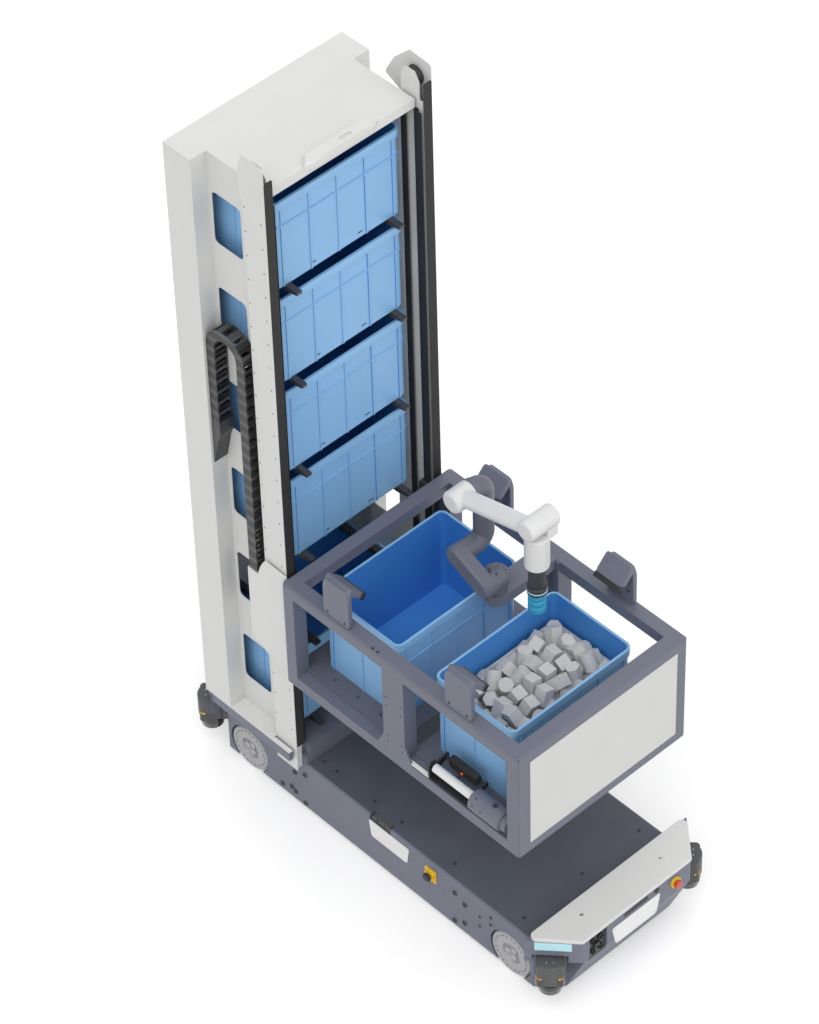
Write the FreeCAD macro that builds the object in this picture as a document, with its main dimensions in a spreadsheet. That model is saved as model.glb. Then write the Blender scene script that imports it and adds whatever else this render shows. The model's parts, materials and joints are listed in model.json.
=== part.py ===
import FreeCAD, Part
import math
import os
import re
import Sketcher
from FreeCAD import Vector

# Tote-carrying mobile robot: a low wheeled base, a rack mast with a lift
# carriage, and a small pick arm on the carriage.
# Axes: +X forward, +Y to the left side, +Z up, origin on the floor under the
# middle of the overall length and width.  The mast datum (X = 0, Y = 0 of
# every drawing below) lies datum_x and datum_y from that origin.  Lengths are millimetres, angles degrees.

SIZES = [
    ("datum_x", -290.65, "mast datum from the middle of the overall length"),
    # base
    ("hull_half_y", 354, "half width of the lower hull"),
    ("hull_low", 18, "ground clearance"),
    ("deck_z", 268, "deck height"),
    ("axle_front", 986, "front axle ahead of the datum"),
    ("axle_rear", 431, "rear axle behind the datum"),
    ("hull_nose", 202, "hull end beyond the axle"),
    ("nose_cut_x", 83, "corner cut of the hull along X"),
    ("nose_cut_y", 86, "corner cut of the hull along Y"),
    ("hull_wall", 6, "hull wall"),
    ("rib_t", 6, "cross rib"),
    ("deck_t", 5, "deck plate"),
    ("edge_r", 8, "rounded rim of the hull"),
    ("rib_rear", -104, "rib under the mast front"),
    ("rib_mid", 330, "rib under the deck middle"),
    ("rib_front", 760, "rib behind the front axle"),
    ("wheel_rad", 98.5, "wheel radius"),
    ("wheel_w", 50, "wheel width"),
    ("arch_gap", 6, "clearance round each wheel"),
    ("wheel_inset", 1, "wheel face inside the hull side"),
    ("axle_rad", 12, "stub axle radius"),
    ("run_fit", 0.06, "radial clearance of a running fit"),
    ("side_gap", 0.3, "face clearance between moving pieces"),
    ("cam_x", 242, "start of the side camera notch"),
    ("cam_len", 112, "length of the side camera notch"),
    ("cam_deep", 28, "depth of the side camera notch"),
    ("cam_tall", 33, "height of the side camera notch"),
    # head and rear module
    ("head_back", 138, "head back edge beyond the axle"),
    ("head_len", 157, "head length"),
    ("head_half_y", 418, "head half width"),
    ("head_cut_x", 154, "corner cut of the head along X"),
    ("head_cut_y", 138, "corner cut of the head along Y"),
    ("head_top", 347, "top of the head under its cover"),
    ("head_fold", 236, "fold where the bumper slopes back"),
    ("cover_t", 14, "thickness of the head cover"),
    ("cover_lip", 3, "overhang of the head cover"),
    ("tip_r", 22, "rounded tips of the head cover"),
    ("notch_r", 66, "scanner notch radius"),
    ("led_len", 135, "light strip length"),
    ("led_tall", 40, "light strip height"),
    ("led_t", 3, "light strip thickness"),
    ("led_z", 302, "light strip bottom"),
    ("port_y", -199, "port recess centre"),
    ("port_w", 88, "port recess width"),
    ("port_z", 207, "port recess bottom"),
    ("port_tall", 131, "port recess height"),
    ("port_deep", 18, "port recess depth"),
    ("slot_y", 18, "vent slot centre"),
    ("slot_w", 93, "vent slot length"),
    ("slot_z", 338, "vent slot bottom edge"),
    ("slot_tall", 8, "vent slot height"),
    ("eye_y", 101, "camera hole across"),
    ("eye_z", 326, "camera hole height"),
    ("eye_rad", 10, "camera hole radius"),
    ("stop_y", 196, "front stop button across"),
    ("stop_z", 297, "front stop button height"),
    ("stop_rad", 19, "stop button head radius"),
    ("stop_head", 12, "stop button head thickness"),
    ("stop_stem", 9, "stop button stem radius"),
    ("stop_travel", 5, "stop button travel"),
    ("collar_rad", 24, "stop button collar radius"),
    ("collar_t", 9, "stop button collar thickness"),
    ("side_stop_x", 569, "side stop button along X"),
    ("side_stop_z", 198, "side stop button height"),
    ("scan_rad", 52, "scanner radius"),
    ("scan_z", 157, "underside of the scanner housing"),
    ("scan_tall", 100, "height of the scanner housing"),
    ("foot_tall", 60, "height of the scanner foot"),
    ("dome_tall", 77, "height of the scanner dome"),
    ("scan_out", 66.5, "scanner axis from the hull corner face"),
    ("module_in", 6, "rear module band inside the side faces of the heads"),
    ("band_z", 308, "underside of the band"),
    ("band_front", 131, "front end of the band behind the datum"),
    ("shelf_z", 352, "top of the band"),
    ("step_z", 362, "top of the rear platform"),
    ("step_front", 100, "front of the rear platform behind the datum"),
    # mast
    ("mast_back", 596, "mast rear face behind the datum"),
    ("skin", 3, "sheet thickness"),
    ("mast_top_z", 3054, "top of the mast covers"),
    ("flange_front", 457, "front edge of the rear flanges behind the datum"),
    ("recess_in", 45, "recess floor inside the column outer face"),
    ("col_back", 231, "column rear face behind the datum"),
    ("col_front", 126, "column front face behind the datum"),
    ("col_lip", 9, "outer plate ahead of the column front"),
    ("col_wide", 36, "column width across"),
    ("col_inset", 27, "column outer face inside the band"),
    ("col_low", 244, "bottom of the column outer plate"),
    ("tab_tall", 155, "height of the pulley tab above the mast"),
    ("tab_back", 112, "left tab reach behind the column"),
    ("tab_short", 14, "right tab reach behind the column, clear of the cable chain"),
    ("pulley_x", 187, "pulley axis behind the datum"),
    ("pulley_up", 72, "pulley axis above the mast top"),
    ("pulley_rad", 34, "pulley radius"),
    ("pulley_w", 22, "pulley width"),
    ("pin_rad", 6, "pulley pin radius"),
    ("win_x", 442, "window rear edge behind the datum"),
    ("win_len", 145, "window length"),
    ("win_tall", 229, "window height"),
    ("win_top", 2890, "top edge of the top window"),
    ("win_r", 20, "window corner radius"),
    ("level_pitch", 433, "rack level pitch"),
    ("level_low", 399, "lowest rack level"),
    ("prong_y", 240, "rack prong centre across"),
    ("prong_w", 24, "rack prong width"),
    ("prong_tall", 26, "rack prong height"),
    ("prong_tip", 130, "rack prong tip behind the datum"),
    ("rack_bar", 8, "rack upright thickness"),
    ("rack_gap", 2, "gap between rack tote and upright"),
    ("rail_x", 155, "lift rail centre behind the datum"),
    ("rail_w", 16, "lift rail width"),
    ("rail_h", 9, "lift rail height"),
    ("hood_len", 340, "sensor hood length across"),
    ("hood_deep", 52, "sensor hood depth"),
    ("hood_up", 20, "sensor hood height"),
    # totes
    ("tote_x", 400, "tote width"),
    ("tote_y", 600, "tote length"),
    ("tote_z", 380, "tote height"),
    ("tote_rim", 7, "tote rim overhang"),
    ("tote_band", 34, "tote rim depth"),
    ("tote_wall", 3, "tote wall"),
    ("tote_r", 24, "tote corner radius"),
    ("tote_rib", 5, "tote rib width"),
    ("goods_gap", 7, "goods from the tote wall"),
    # carriage
    ("lift_z", 783, "underside of the carriage at rest"),
    ("frame_back", 108, "carriage rear behind the datum"),
    ("frame_front", 1103, "carriage front"),
    ("frame_half_y", 420, "carriage half width"),
    ("frame_tall", 509, "carriage height"),
    ("rail_deep", 50, "carriage rail height"),
    ("post", 60, "carriage post width"),
    ("tube_wall", 4, "carriage tube wall"),
    ("frame_r", 14, "carriage edge radius"),
    ("mid_x", 413, "middle post rear face"),
    ("mid_len", 110, "middle post length"),
    ("tray_t", 6, "carriage floor thickness"),
    ("tray_edge", 12, "floor bearing on the rails"),
    ("rear_tote_x", -27, "rear tote rear face"),
    ("front_tote_x", 553, "front tote rear face"),
    ("panel_t", 3, "front panel thickness"),
    ("panel_over", 5, "front panel lap"),
    ("eye_back_x", 106, "rear sensor bracket start"),
    ("eye_front_x", 727, "front sensor bracket start"),
    ("eye_len", 133, "sensor bracket length"),
    ("eye_tall", 208, "sensor bracket height"),
    ("eye_t", 32, "sensor bracket thickness"),
    ("eye_reach", 88, "sensor head reach inwards"),
    ("cover_gap", 6, "side cover clear of the column"),
    ("cover_w", 14, "side cover thickness"),
    ("cover_back", 307, "side cover rear edge behind the datum"),
    ("guide_w", 34, "guide block width"),
    ("guide_tall", 90, "guide block height"),
    # cable chain
    ("chain_off", 4, "cable chain off the recess floor"),
    ("chain_w", 58, "cable chain width"),
    ("chain_t", 42, "cable chain thickness"),
    ("chain_rad", 78, "cable chain bend radius"),
    ("chain_x", 356, "cable chain loop centre behind the datum"),
    ("chain_z", 2225, "cable chain loop centre height"),
    ("chain_foot", 1860, "foot of the fixed run"),
    ("chain_pitch", 26, "cable chain bar pitch"),
    ("chain_bar", 14, "cable chain bar width"),
    ("chain_side", 6, "cable chain side plate"),
    # transfer unit
    ("roller_x", 655, "roller start"),
    ("roller_len", 190, "roller length"),
    ("roller_rad", 17, "roller radius"),
    ("roller_in", 24, "roller axis inside the carriage side face"),
    ("roller_up", 104, "roller axis above the carriage underside"),
    ("motor_rad", 42, "transfer motor radius"),
    ("motor_len", 150, "transfer motor length"),
    ("arm_reach", 66, "transfer arm reach"),
    ("pad_len", 120, "transfer pad length"),
    # pick arm
    ("arm_x", 463, "arm turning axis along X"),
    ("arm_y", 101, "arm turning axis across"),
    ("beam_half", 46, "pedestal beam half width"),
    ("beam_up", 457, "pedestal underside above the carriage underside"),
    ("beam_tall", 60, "pedestal height"),
    ("turn_rad", 44, "arm turret radius"),
    ("turn_tall", 88, "arm turret height"),
    ("lift_dx", 13, "shoulder pivot ahead of the turning axis"),
    ("lift_up", 69, "shoulder pivot above the pedestal"),
    ("link_rad", 40, "arm barrel radius"),
    ("link_in", 45, "link face from the turning axis"),
    ("link_t", 50, "link thickness"),
    ("link_dx", -136, "link pivot step along X"),
    ("link_dz", 63, "link pivot step in height"),
    ("tube_dy", 59, "upper tube axis from the turning axis"),
    ("tube_rad", 39, "upper tube radius"),
    ("tube_bend", 46, "upper tube bend radius"),
    ("tube_up", 278, "upper tube height"),
    ("fore_in", 12, "forearm face from the turning axis"),
    ("fore_w", 90, "forearm head width"),
    ("fore_rad", 45, "forearm head radius"),
    ("fore_dx", 350, "forearm step along X"),
    ("fore_dz", 93, "forearm step in height"),
    ("fore_tube", 34, "forearm tube radius"),
    ("wrist_w", 64, "wrist turning half length"),
    ("wrist_near", 76, "wrist fixed half length"),
    ("wrist_seam", 6, "wrist seam from the turning axis"),
    ("wrist_rad", 42, "wrist barrel radius"),
    ("can_rad", 46, "tool body radius"),
    ("can_len", 147, "tool body length"),
    ("can_dy", -21, "tool axis from the turning axis"),
    ("neck_rad", 31, "tool neck radius"),
    ("neck_len", 100, "tool neck length"),
    ("ring_rad", 37, "tool ring radius"),
    ("ring_len", 35, "tool ring length"),
    ("cup_rad", 33, "suction cup radius"),
    ("cup_len", 86, "suction cup length"),
]
VALUE = {name: value for name, value, note in SIZES}

# Lengths that follow from the sizes above.
RULES = {
    "hull_front": "axle_front + hull_nose",
    "hull_back": "-axle_rear - hull_nose",
    "mid_axle": "(axle_front - axle_rear) / 2",
    "well_y": "hull_half_y - wheel_inset - wheel_w - arch_gap - 4",
    "arch_rad": "wheel_rad + arch_gap",
    "head_start": "axle_front + head_back",
    "head_end": "axle_front + head_back + head_len",
    "nose_len": "hypot(nose_cut_x; nose_cut_y)",
    "nose_turn": "atan2(nose_cut_x; nose_cut_y)",
    "head_turn": "atan2(head_cut_y; head_cut_x)",
    "scan_x": "axle_front + hull_nose - nose_cut_x / 2 + scan_out * nose_cut_y / nose_len",
    "scan_y": "hull_half_y - nose_cut_y / 2 + scan_out * nose_cut_x / nose_len",
    "col_gap": "0.5",
    "module_half_y": "head_half_y - module_in",
    "col_out": "module_half_y - col_inset",
    "col_in": "col_out - col_wide",
    "recess_y": "col_out - recess_in",
    "chain_in": "recess_y + chain_off",
    "cover_y": "col_out + cover_gap",
    "roller_y": "frame_half_y - roller_in",
    "datum_y": "(roller_y + motor_rad - frame_half_y) / 2",
    "level_top": "level_low + 5 * level_pitch",
    "tote_back": "mast_back - skin - rack_bar - rack_gap",
    "floor_up": "rail_deep + tray_t",
    "pulley_z": "mast_top_z + pulley_up",
    "link_out": "link_in + link_t",
    "chain_y": "chain_in + chain_w / 2",
    "chain_end": "lift_z + cover_high + skin",
    "cover_high": "frame_tall - 73",
    "turn_z": "lift_z + beam_up + beam_tall",
    "pivot_x": "arm_x + lift_dx",
    "pivot_z": "turn_z + lift_up",
    "elbow_x": "pivot_x + link_dx",
    "elbow_z": "pivot_z + link_dz",
    "top_z": "elbow_z + tube_up",
    "wrist_x": "elbow_x + fore_dx",
    "wrist_z": "top_z + fore_dz",
    "can_top": "wrist_rad + 10",
    "stop_x": "head_end",
    "motor_x": "roller_x + roller_len + 16",
}

doc = FreeCAD.newDocument("TotePicker")
sheet = doc.addObject("Spreadsheet::Sheet", "Sizes")
for row, (name, value, note) in enumerate(SIZES, start=1):
    sheet.set("A%d" % row, name)
    sheet.set("B%d" % row, str(value))
    sheet.set("C%d" % row, note)
    sheet.setAlias("B%d" % row, name)
doc.recompute()

PARTS = []


def ref(text):
    """Write a formula of size names as an expression on the sheet."""
    def word(match):
        name = match.group(0)
        if name in RULES:
            return "(" + ref(RULES[name]) + ")"
        if name in VALUE:
            return "Sizes." + name
        return name
    return re.sub(r"[A-Za-z_]\w*", word, str(text))


def num(text):
    """The number a formula gives with the sizes as they stand."""
    value = sheet.evalExpression(ref(text))
    return float(getattr(value, "Value", value))


def bind(item, path, text):
    """Bind a property of an object to a formula."""
    item.setExpression(path, ref(text))


def place(item, at=("0", "0", "0"), turn=None):
    """Bind an object's placement; turn is (axis, angle formula)."""
    if turn is not None:
        item.Placement = FreeCAD.Placement(Vector(), FreeCAD.Rotation(Vector(*turn[0]), num(turn[1])))
        bind(item, "Placement.Rotation.Angle", turn[1])
    for letter, text in zip("xyz", at):
        bind(item, "Placement.Base." + letter, text)
    return item


def keep(item, label, at=("datum_x", "0", "0"), turn=None):
    """Name a finished sub-part, place it in the robot and put it on the list."""
    item.Label = label
    place(item, (at[0], "%s + datum_y" % at[1], at[2]), turn)
    PARTS.append(item)
    return item


# ---------------------------------------------------------------- drawing
def add_line_loop(sketch, points):
    """A closed outline whose corners are dimensioned from the origin."""
    first = sketch.GeometryCount
    spots = [(num(a), num(b)) for a, b in points]
    count = len(points)
    for k in range(count):
        start = spots[k]
        end = spots[(k + 1) % count]
        sketch.addGeometry(Part.LineSegment(Vector(*start, 0), Vector(*end, 0)), False)
    for k in range(count):
        sketch.addConstraint(Sketcher.Constraint("Coincident", first + k, 2, first + (k + 1) % count, 1))
    for k, (a, b) in enumerate(points):
        dimension(sketch, "DistanceX", first + k, 1, a)
        dimension(sketch, "DistanceY", first + k, 1, b)


def dimension(sketch, kind, geo, spot, text):
    """Dimension a point from the origin, or put it on the axis when it is zero."""
    value = num(text)
    if abs(value) < 1e-9:
        axis = -2 if kind == "DistanceX" else -1
        sketch.addConstraint(Sketcher.Constraint("PointOnObject", geo, spot, axis))
        return
    index = sketch.addConstraint(Sketcher.Constraint(kind, -1, 1, geo, spot, value))
    bind(sketch, "Constraints[%d]" % index, text)


def add_circle(sketch, a, b, radius):
    """A circle with its centre and radius dimensioned."""
    geo = sketch.addGeometry(Part.Circle(Vector(num(a), num(b), 0), Vector(0, 0, 1), num(radius)), False)
    dimension(sketch, "DistanceX", geo, 3, a)
    dimension(sketch, "DistanceY", geo, 3, b)
    index = sketch.addConstraint(Sketcher.Constraint("Radius", geo, num(radius)))
    bind(sketch, "Constraints[%d]" % index, radius)


def add_round_box(sketch, low_a, high_a, low_b, high_b, radius):
    """A rectangle with four equal rounded corners."""
    x0, x1, y0, y1, r = num(low_a), num(high_a), num(low_b), num(high_b), num(radius)
    up = Vector(0, 0, 1)
    first = sketch.GeometryCount
    corners = [(x1 - r, y0 + r, -90), (x1 - r, y1 - r, 0), (x0 + r, y1 - r, 90), (x0 + r, y0 + r, 180)]
    sides = [((x0 + r, y0), (x1 - r, y0)), ((x1, y0 + r), (x1, y1 - r)),
             ((x1 - r, y1), (x0 + r, y1)), ((x0, y1 - r), (x0, y0 + r))]
    for (start, end), (cx, cy, begin) in zip(sides, corners):
        sketch.addGeometry(Part.LineSegment(Vector(*start, 0), Vector(*end, 0)), False)
        circle = Part.Circle(Vector(cx, cy, 0), up, r)
        arc = Part.ArcOfCircle(circle, math.radians(begin), math.radians(begin + 90))
        sketch.addGeometry(arc, False)
    for k in range(4):
        line, arc, after = first + 2 * k, first + 2 * k + 1, first + (2 * k + 2) % 8
        sketch.addConstraint(Sketcher.Constraint("Tangent", line, 2, arc, 1))
        sketch.addConstraint(Sketcher.Constraint("Tangent", arc, 2, after, 1))
        sketch.addConstraint(Sketcher.Constraint("Vertical" if k % 2 else "Horizontal", line))
    index = sketch.addConstraint(Sketcher.Constraint("Radius", first + 1, r))
    bind(sketch, "Constraints[%d]" % index, radius)
    for k in range(1, 4):
        sketch.addConstraint(Sketcher.Constraint("Equal", first + 1, first + 2 * k + 1))
    dimension(sketch, "DistanceY", first, 1, low_b)
    dimension(sketch, "DistanceX", first + 2, 1, high_a)
    dimension(sketch, "DistanceY", first + 4, 1, high_b)
    dimension(sketch, "DistanceX", first + 6, 1, low_a)


def fill_sketch(sketch, loops):
    """Draw every outline: ('circle', ...), ('round', ...) or a list of corners."""
    for loop in loops:
        if loop[0] == "circle":
            add_circle(sketch, *loop[1:])
        elif loop[0] == "round":
            add_round_box(sketch, *loop[1:])
        else:
            add_line_loop(sketch, loop)


def rect(a0, a1, b0, b1):
    """Corners of a plain rectangle."""
    return [(a0, b0), (a1, b0), (a1, b1), (a0, b1)]


class Solid:
    """A PartDesign body drawn on its own origin planes."""

    def __init__(self, name):
        self.body = doc.addObject("PartDesign::Body", name)
        self.name = name
        self.count = 0

    def sketch(self, plane, loops, offset="0"):
        self.count += 1
        item = self.body.newObject("Sketcher::SketchObject", "%s_sketch%d" % (self.name, self.count))
        role = {"xy": "XY_Plane", "xz": "XZ_Plane", "yz": "YZ_Plane"}[plane]
        support = [f for f in self.body.Origin.OriginFeatures if f.Role == role][0]
        item.AttachmentSupport = (support, [""])
        item.MapMode = "FlatFace"
        sign = "-1 * " if plane == "xz" else ""
        bind(item, "AttachmentOffset.Base.z", sign + "(" + offset + ")")
        fill_sketch(item, loops)
        return item

    def feature(self, kind, title=None):
        self.count += 1
        return self.body.newObject("PartDesign::" + kind, "%s_%s%d" % (self.name, title or kind, self.count))

    def pad(self, plane, loops, low, high):
        """Add the outline as solid between two levels along the plane's axis."""
        start = high if plane == "xz" else low
        item = self.feature("Pad")
        item.Profile = self.sketch(plane, loops, start)
        bind(item, "Length", "(" + high + ") - (" + low + ")")
        return self.done(item, 1)

    def pocket(self, plane, loops, low, high):
        """Cut the outline away between two levels along the plane's axis."""
        start = low if plane == "xz" else high
        item = self.feature("Pocket")
        item.Profile = self.sketch(plane, loops, start)
        bind(item, "Length", "(" + high + ") - (" + low + ")")
        return self.done(item, -1)

    def turn(self, kind, plane, loops, angle="360", axis="V_Axis", back=False):
        """Revolve the outline about the sketch's own axis."""
        item = self.feature(kind)
        item.Profile = self.sketch(plane, loops)
        item.ReferenceAxis = (item.Profile[0], [axis])
        item.Reversed = back
        bind(item, "Angle", angle)
        return self.done(item, 1 if kind == "Revolution" else -1)

    def along(self, source, axis, step, number):
        """Repeat a feature in a row along an origin axis."""
        item = self.feature("LinearPattern")
        item.Originals = [source]
        line = [f for f in self.body.Origin.OriginFeatures if f.Role == axis + "_Axis"][0]
        item.Direction = (line, [""])
        bind(item, "Length", "(" + step + ") * %d" % (number - 1))
        item.Occurrences = number
        self.body.Tip = item
        return self.done(item, 0)

    def around(self, source, axis, number, angle="360", back=False):
        """Repeat a feature round an origin axis."""
        item = self.feature("PolarPattern")
        item.Originals = [source]
        item.Reversed = back
        line = [f for f in self.body.Origin.OriginFeatures if f.Role == axis + "_Axis"][0]
        item.Axis = (line, [""])
        bind(item, "Angle", angle)
        item.Occurrences = number
        self.body.Tip = item
        return self.done(item, 0)

    def dress(self, kind, size, test):
        """Fillet or chamfer the edges that pass a test."""
        base = self.body.Tip
        names = edge_names(base.Shape, test)
        item = self.feature(kind)
        item.Base = (base, names)
        bind(item, "Radius" if kind == "Fillet" else "Size", size)
        return self.done(item, 0)

    def done(self, item, sign):
        """Recompute and make sure the feature did its work."""
        before = self.volume if sign else 0.0
        doc.recompute()
        self.volume = item.Shape.Volume
        if "Invalid" in item.State or "Error" in item.State or not item.Shape.isValid():
            raise RuntimeError("feature failed: " + item.Name)
        if sign and (self.volume - before) * sign <= 1e-6:
            raise RuntimeError("feature changed nothing: " + item.Name)
        return item

    volume = 0.0


def edge_names(shape, test):
    """Names of the edges that pass a test on (ends, middle, direction)."""
    names = []
    for index, edge in enumerate(shape.Edges, start=1):
        ends = [v.Point for v in edge.Vertexes]
        direction = (ends[1] - ends[0]).normalize() if len(ends) == 2 else Vector()
        if test(direction, edge.CenterOfMass, edge):
            names.append("Edge%d" % index)
    if not names:
        raise RuntimeError("no edge found")
    return names


def near(a, text, slack=0.05):
    """True when a coordinate equals a formula."""
    return abs(a - num(text)) < slack


def cuboid(x0, x1, y0, y1, z0, z1):
    """A block between two corners."""
    item = doc.addObject("Part::Box", "Block")
    bind(item, "Length", "(" + x1 + ") - (" + x0 + ")")
    bind(item, "Width", "(" + y1 + ") - (" + y0 + ")")
    bind(item, "Height", "(" + z1 + ") - (" + z0 + ")")
    return place(item, (x0, y0, z0))


def rod(axis, centre, radius, low, high):
    """A cylinder along x, y or z between two levels on that axis."""
    item = doc.addObject("Part::Cylinder", "Rod")
    bind(item, "Radius", radius)
    bind(item, "Height", "(" + high + ") - (" + low + ")")
    a, b = centre
    if axis == "x":
        return place(item, (low, a, b), ((0, 1, 0), "90"))
    if axis == "y":
        return place(item, (a, low, b), ((-1, 0, 0), "90"))
    return place(item, (a, b, low))


def fuse(*items):
    """Join pieces into one solid."""
    item = doc.addObject("Part::MultiFuse", "Fusion")
    item.Shapes = list(items)
    item.Refine = True
    return item


def cut(base, *tools):
    """Cut one or more pieces from a solid."""
    item = doc.addObject("Part::Cut", "Cut")
    item.Base = base
    item.Tool = fuse(*tools) if len(tools) > 1 else tools[0]
    item.Refine = True
    return item


def soften(base, radius, test):
    """Fillet the edges of a Part solid that pass a test."""
    doc.recompute()
    item = doc.addObject("Part::Fillet", "Soft")
    item.Base = base
    size = num(radius)
    item.Edges = [(int(n[4:]), size, size) for n in edge_names(base.Shape, test)]
    return item


def again(source):
    """Another piece of the same form."""
    item = doc.addObject("Part::Refine", "Again")
    item.Source = source
    return item


def mirrored(points, sign):
    """Outline mirrored across the X axis when sign is -1."""
    return [(a, "%d * (%s)" % (sign, b)) for a, b in points]


# ---------------------------------------------------------------- base
def hull_outline(inset):
    """Plan of the hull with its four cut corners, drawn in by an inset."""
    side = "hull_half_y - " + inset
    front = "hull_front - " + inset
    back = "hull_back + " + inset
    cx = "nose_cut_x"
    cy = "nose_cut_y"
    return [(front, "-(%s - %s)" % (side, cy)), (front, "%s - %s" % (side, cy)),
            ("%s - %s" % (front, cx), side), ("%s + %s" % (back, cx), side),
            (back, "%s - %s" % (side, cy)), (back, "-(%s - %s)" % (side, cy)),
            ("%s + %s" % (back, cx), "-(%s)" % side), ("%s - %s" % (front, cx), "-(%s)" % side)]


hull = Solid("base_hull")
hull.pad("xy", [hull_outline("0")], "hull_low", "deck_z")
hull.dress("Fillet", "edge_r", lambda d, c, e: near(c.z, "deck_z") and abs(d.x) > 0.99)
hull.pocket("xy", [hull_outline("edge_r")], "deck_z - deck_t", "deck_z")
for low, high in (("hull_back + hull_wall", "rib_rear"), ("rib_rear + rib_t", "rib_mid"),
                  ("rib_mid + rib_t", "rib_front"), ("rib_front + rib_t", "hull_front - hull_wall")):
    mid_y = "hull_half_y - hull_wall"
    bay = rect(low, high, "-(" + mid_y + ")", mid_y)
    if "hull_front" in high or "hull_back" in low:
        # the end bays follow the cut corners and stop inside the wheel wells
        end = high if "hull_front" in high else low
        sign = "-" if "hull_front" in high else "+"
        other = low if "hull_front" in high else high
        inner = "well_y - hull_wall"
        bay = [(other, "-(%s)" % inner), (other, inner), (end + sign + "nose_cut_x / 2", inner),
               (end, "hull_half_y - nose_cut_y - hull_wall"), (end, "-(hull_half_y - nose_cut_y - hull_wall)"),
               (end + sign + "nose_cut_x / 2", "-(%s)" % inner)]
    hull.pocket("xy", [bay], "hull_low + hull_wall", "deck_z - deck_t")
for axle in ("axle_front", "-axle_rear"):
    loop = ("circle", axle, "wheel_rad", "arch_rad")
    for low, high in (("well_y", "hull_half_y + 1"), ("-hull_half_y - 1", "-(well_y)")):
        hull.pocket("xz", [loop], low, high)
axles = [("circle", "axle_front", "wheel_rad", "axle_rad"), ("circle", "-axle_rear", "wheel_rad", "axle_rad")]
stub_end = "hull_half_y - wheel_inset - wheel_w / 3"
hull.pad("xz", axles, "well_y - 2", stub_end)
hull.pad("xz", axles, "-(%s)" % stub_end, "-(well_y - 2)")
camera_notch = rect("cam_x", "cam_x + cam_len", "-hull_half_y - 1", "-(hull_half_y - cam_deep)")
hull.pad("xy", [rect("cam_x - hull_wall", "cam_x + cam_len + hull_wall", "-(hull_half_y - hull_wall / 2)",
                     "-(hull_half_y - cam_deep - hull_wall)")], "deck_z - cam_tall - hull_wall", "deck_z - deck_t")
hull.pocket("xy", [camera_notch], "deck_z - cam_tall", "deck_z + 1")
keep(hull.body, "base_hull")

deck = Solid("deck_plate")
notch = [("cam_x - side_gap", "-(hull_half_y - edge_r)"), ("cam_x - side_gap", "-(hull_half_y - cam_deep)"),
         ("cam_x + cam_len + side_gap", "-(hull_half_y - cam_deep)"),
         ("cam_x + cam_len + side_gap", "-(hull_half_y - edge_r)")]
plan = hull_outline("edge_r")
deck.pad("xy", [plan[:7] + notch + plan[7:]], "deck_z - deck_t", "deck_z")
keep(deck.body, "deck_plate")

camera = Solid("side_camera")
camera.pad("xz", [rect("cam_x + 8", "cam_x + cam_len - 8", "deck_z - cam_tall", "deck_z - 6")],
           "-(hull_half_y - 6)", "-(hull_half_y - cam_deep)")
camera.dress("Chamfer", "5", lambda d, c, e: abs(d.y) > 0.99 and c.z > num("deck_z - 10"))
camera.pocket("xz", [("circle", "cam_x + cam_len / 3", "deck_z - cam_tall / 2", "8"),
                     ("circle", "cam_x + cam_len * 2 / 3", "deck_z - cam_tall / 2", "5")],
              "-(hull_half_y - 6)", "-(hull_half_y - 12)")
keep(camera.body, "side_camera")


def wheel(name):
    """A disc wheel: tread, face plate with a dished hub, studs and a lobed cap."""
    item = Solid(name)
    half = "wheel_w / 2"
    dish = "wheel_rad * 0.42"
    face = [("axle_rad + run_fit", "-(%s)" % half), ("wheel_rad - 5", "-(%s)" % half),
            ("wheel_rad", "-(%s) + 6" % half), ("wheel_rad", "%s - 6" % half), ("wheel_rad - 5", half),
            ("wheel_rad - 9", "%s - 2" % half), (dish + " + 5", "%s - 2" % half), (dish, "%s - 14" % half),
            ("axle_rad + run_fit", "%s - 14" % half)]
    item.turn("Revolution", "xy", [face])
    stud = item.pad("xz", [("circle", "wheel_rad * 0.78", "0", "4")], "%s - 3" % half, "%s + 0.4" % half)
    item.around(stud, "Y", 8)
    lobe = item.pad("xz", [("circle", "wheel_rad * 0.2", "0", "wheel_rad * 0.14")], "%s - 15" % half, "%s - 5" % half)
    item.around(lobe, "Y", 3)
    return item.body


hub = wheel("wheel_form")
for label, axle, sign, angle in (("wheel_front_left", "axle_front", "1", "0"),
                                 ("wheel_front_right", "axle_front", "-1", "180"),
                                 ("wheel_rear_left", "-axle_rear", "1", "0"),
                                 ("wheel_rear_right", "-axle_rear", "-1", "180")):
    spot = ("datum_x + (%s)" % axle, "%s * (hull_half_y - wheel_inset - wheel_w / 2)" % sign, "wheel_rad")
    keep(again(hub), label, spot, ((0, 0, 1), angle))


def head_outline(grow):
    """Plan of a head with cut corners, measured from its back edge."""
    y = "head_half_y + " + grow
    x = "head_len + " + grow
    cy = "head_cut_y"
    return [("-(%s)" % grow, "-(%s)" % y), (x + " - (head_len - head_cut_x)", "-(%s - %s)" % (y, cy)),
            (x, "-(%s - %s - 8)" % (y, cy)), (x, "%s - %s - 8" % (y, cy)),
            (x + " - (head_len - head_cut_x)", "%s - %s" % (y, cy)), ("-(%s)" % grow, y)]


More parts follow.
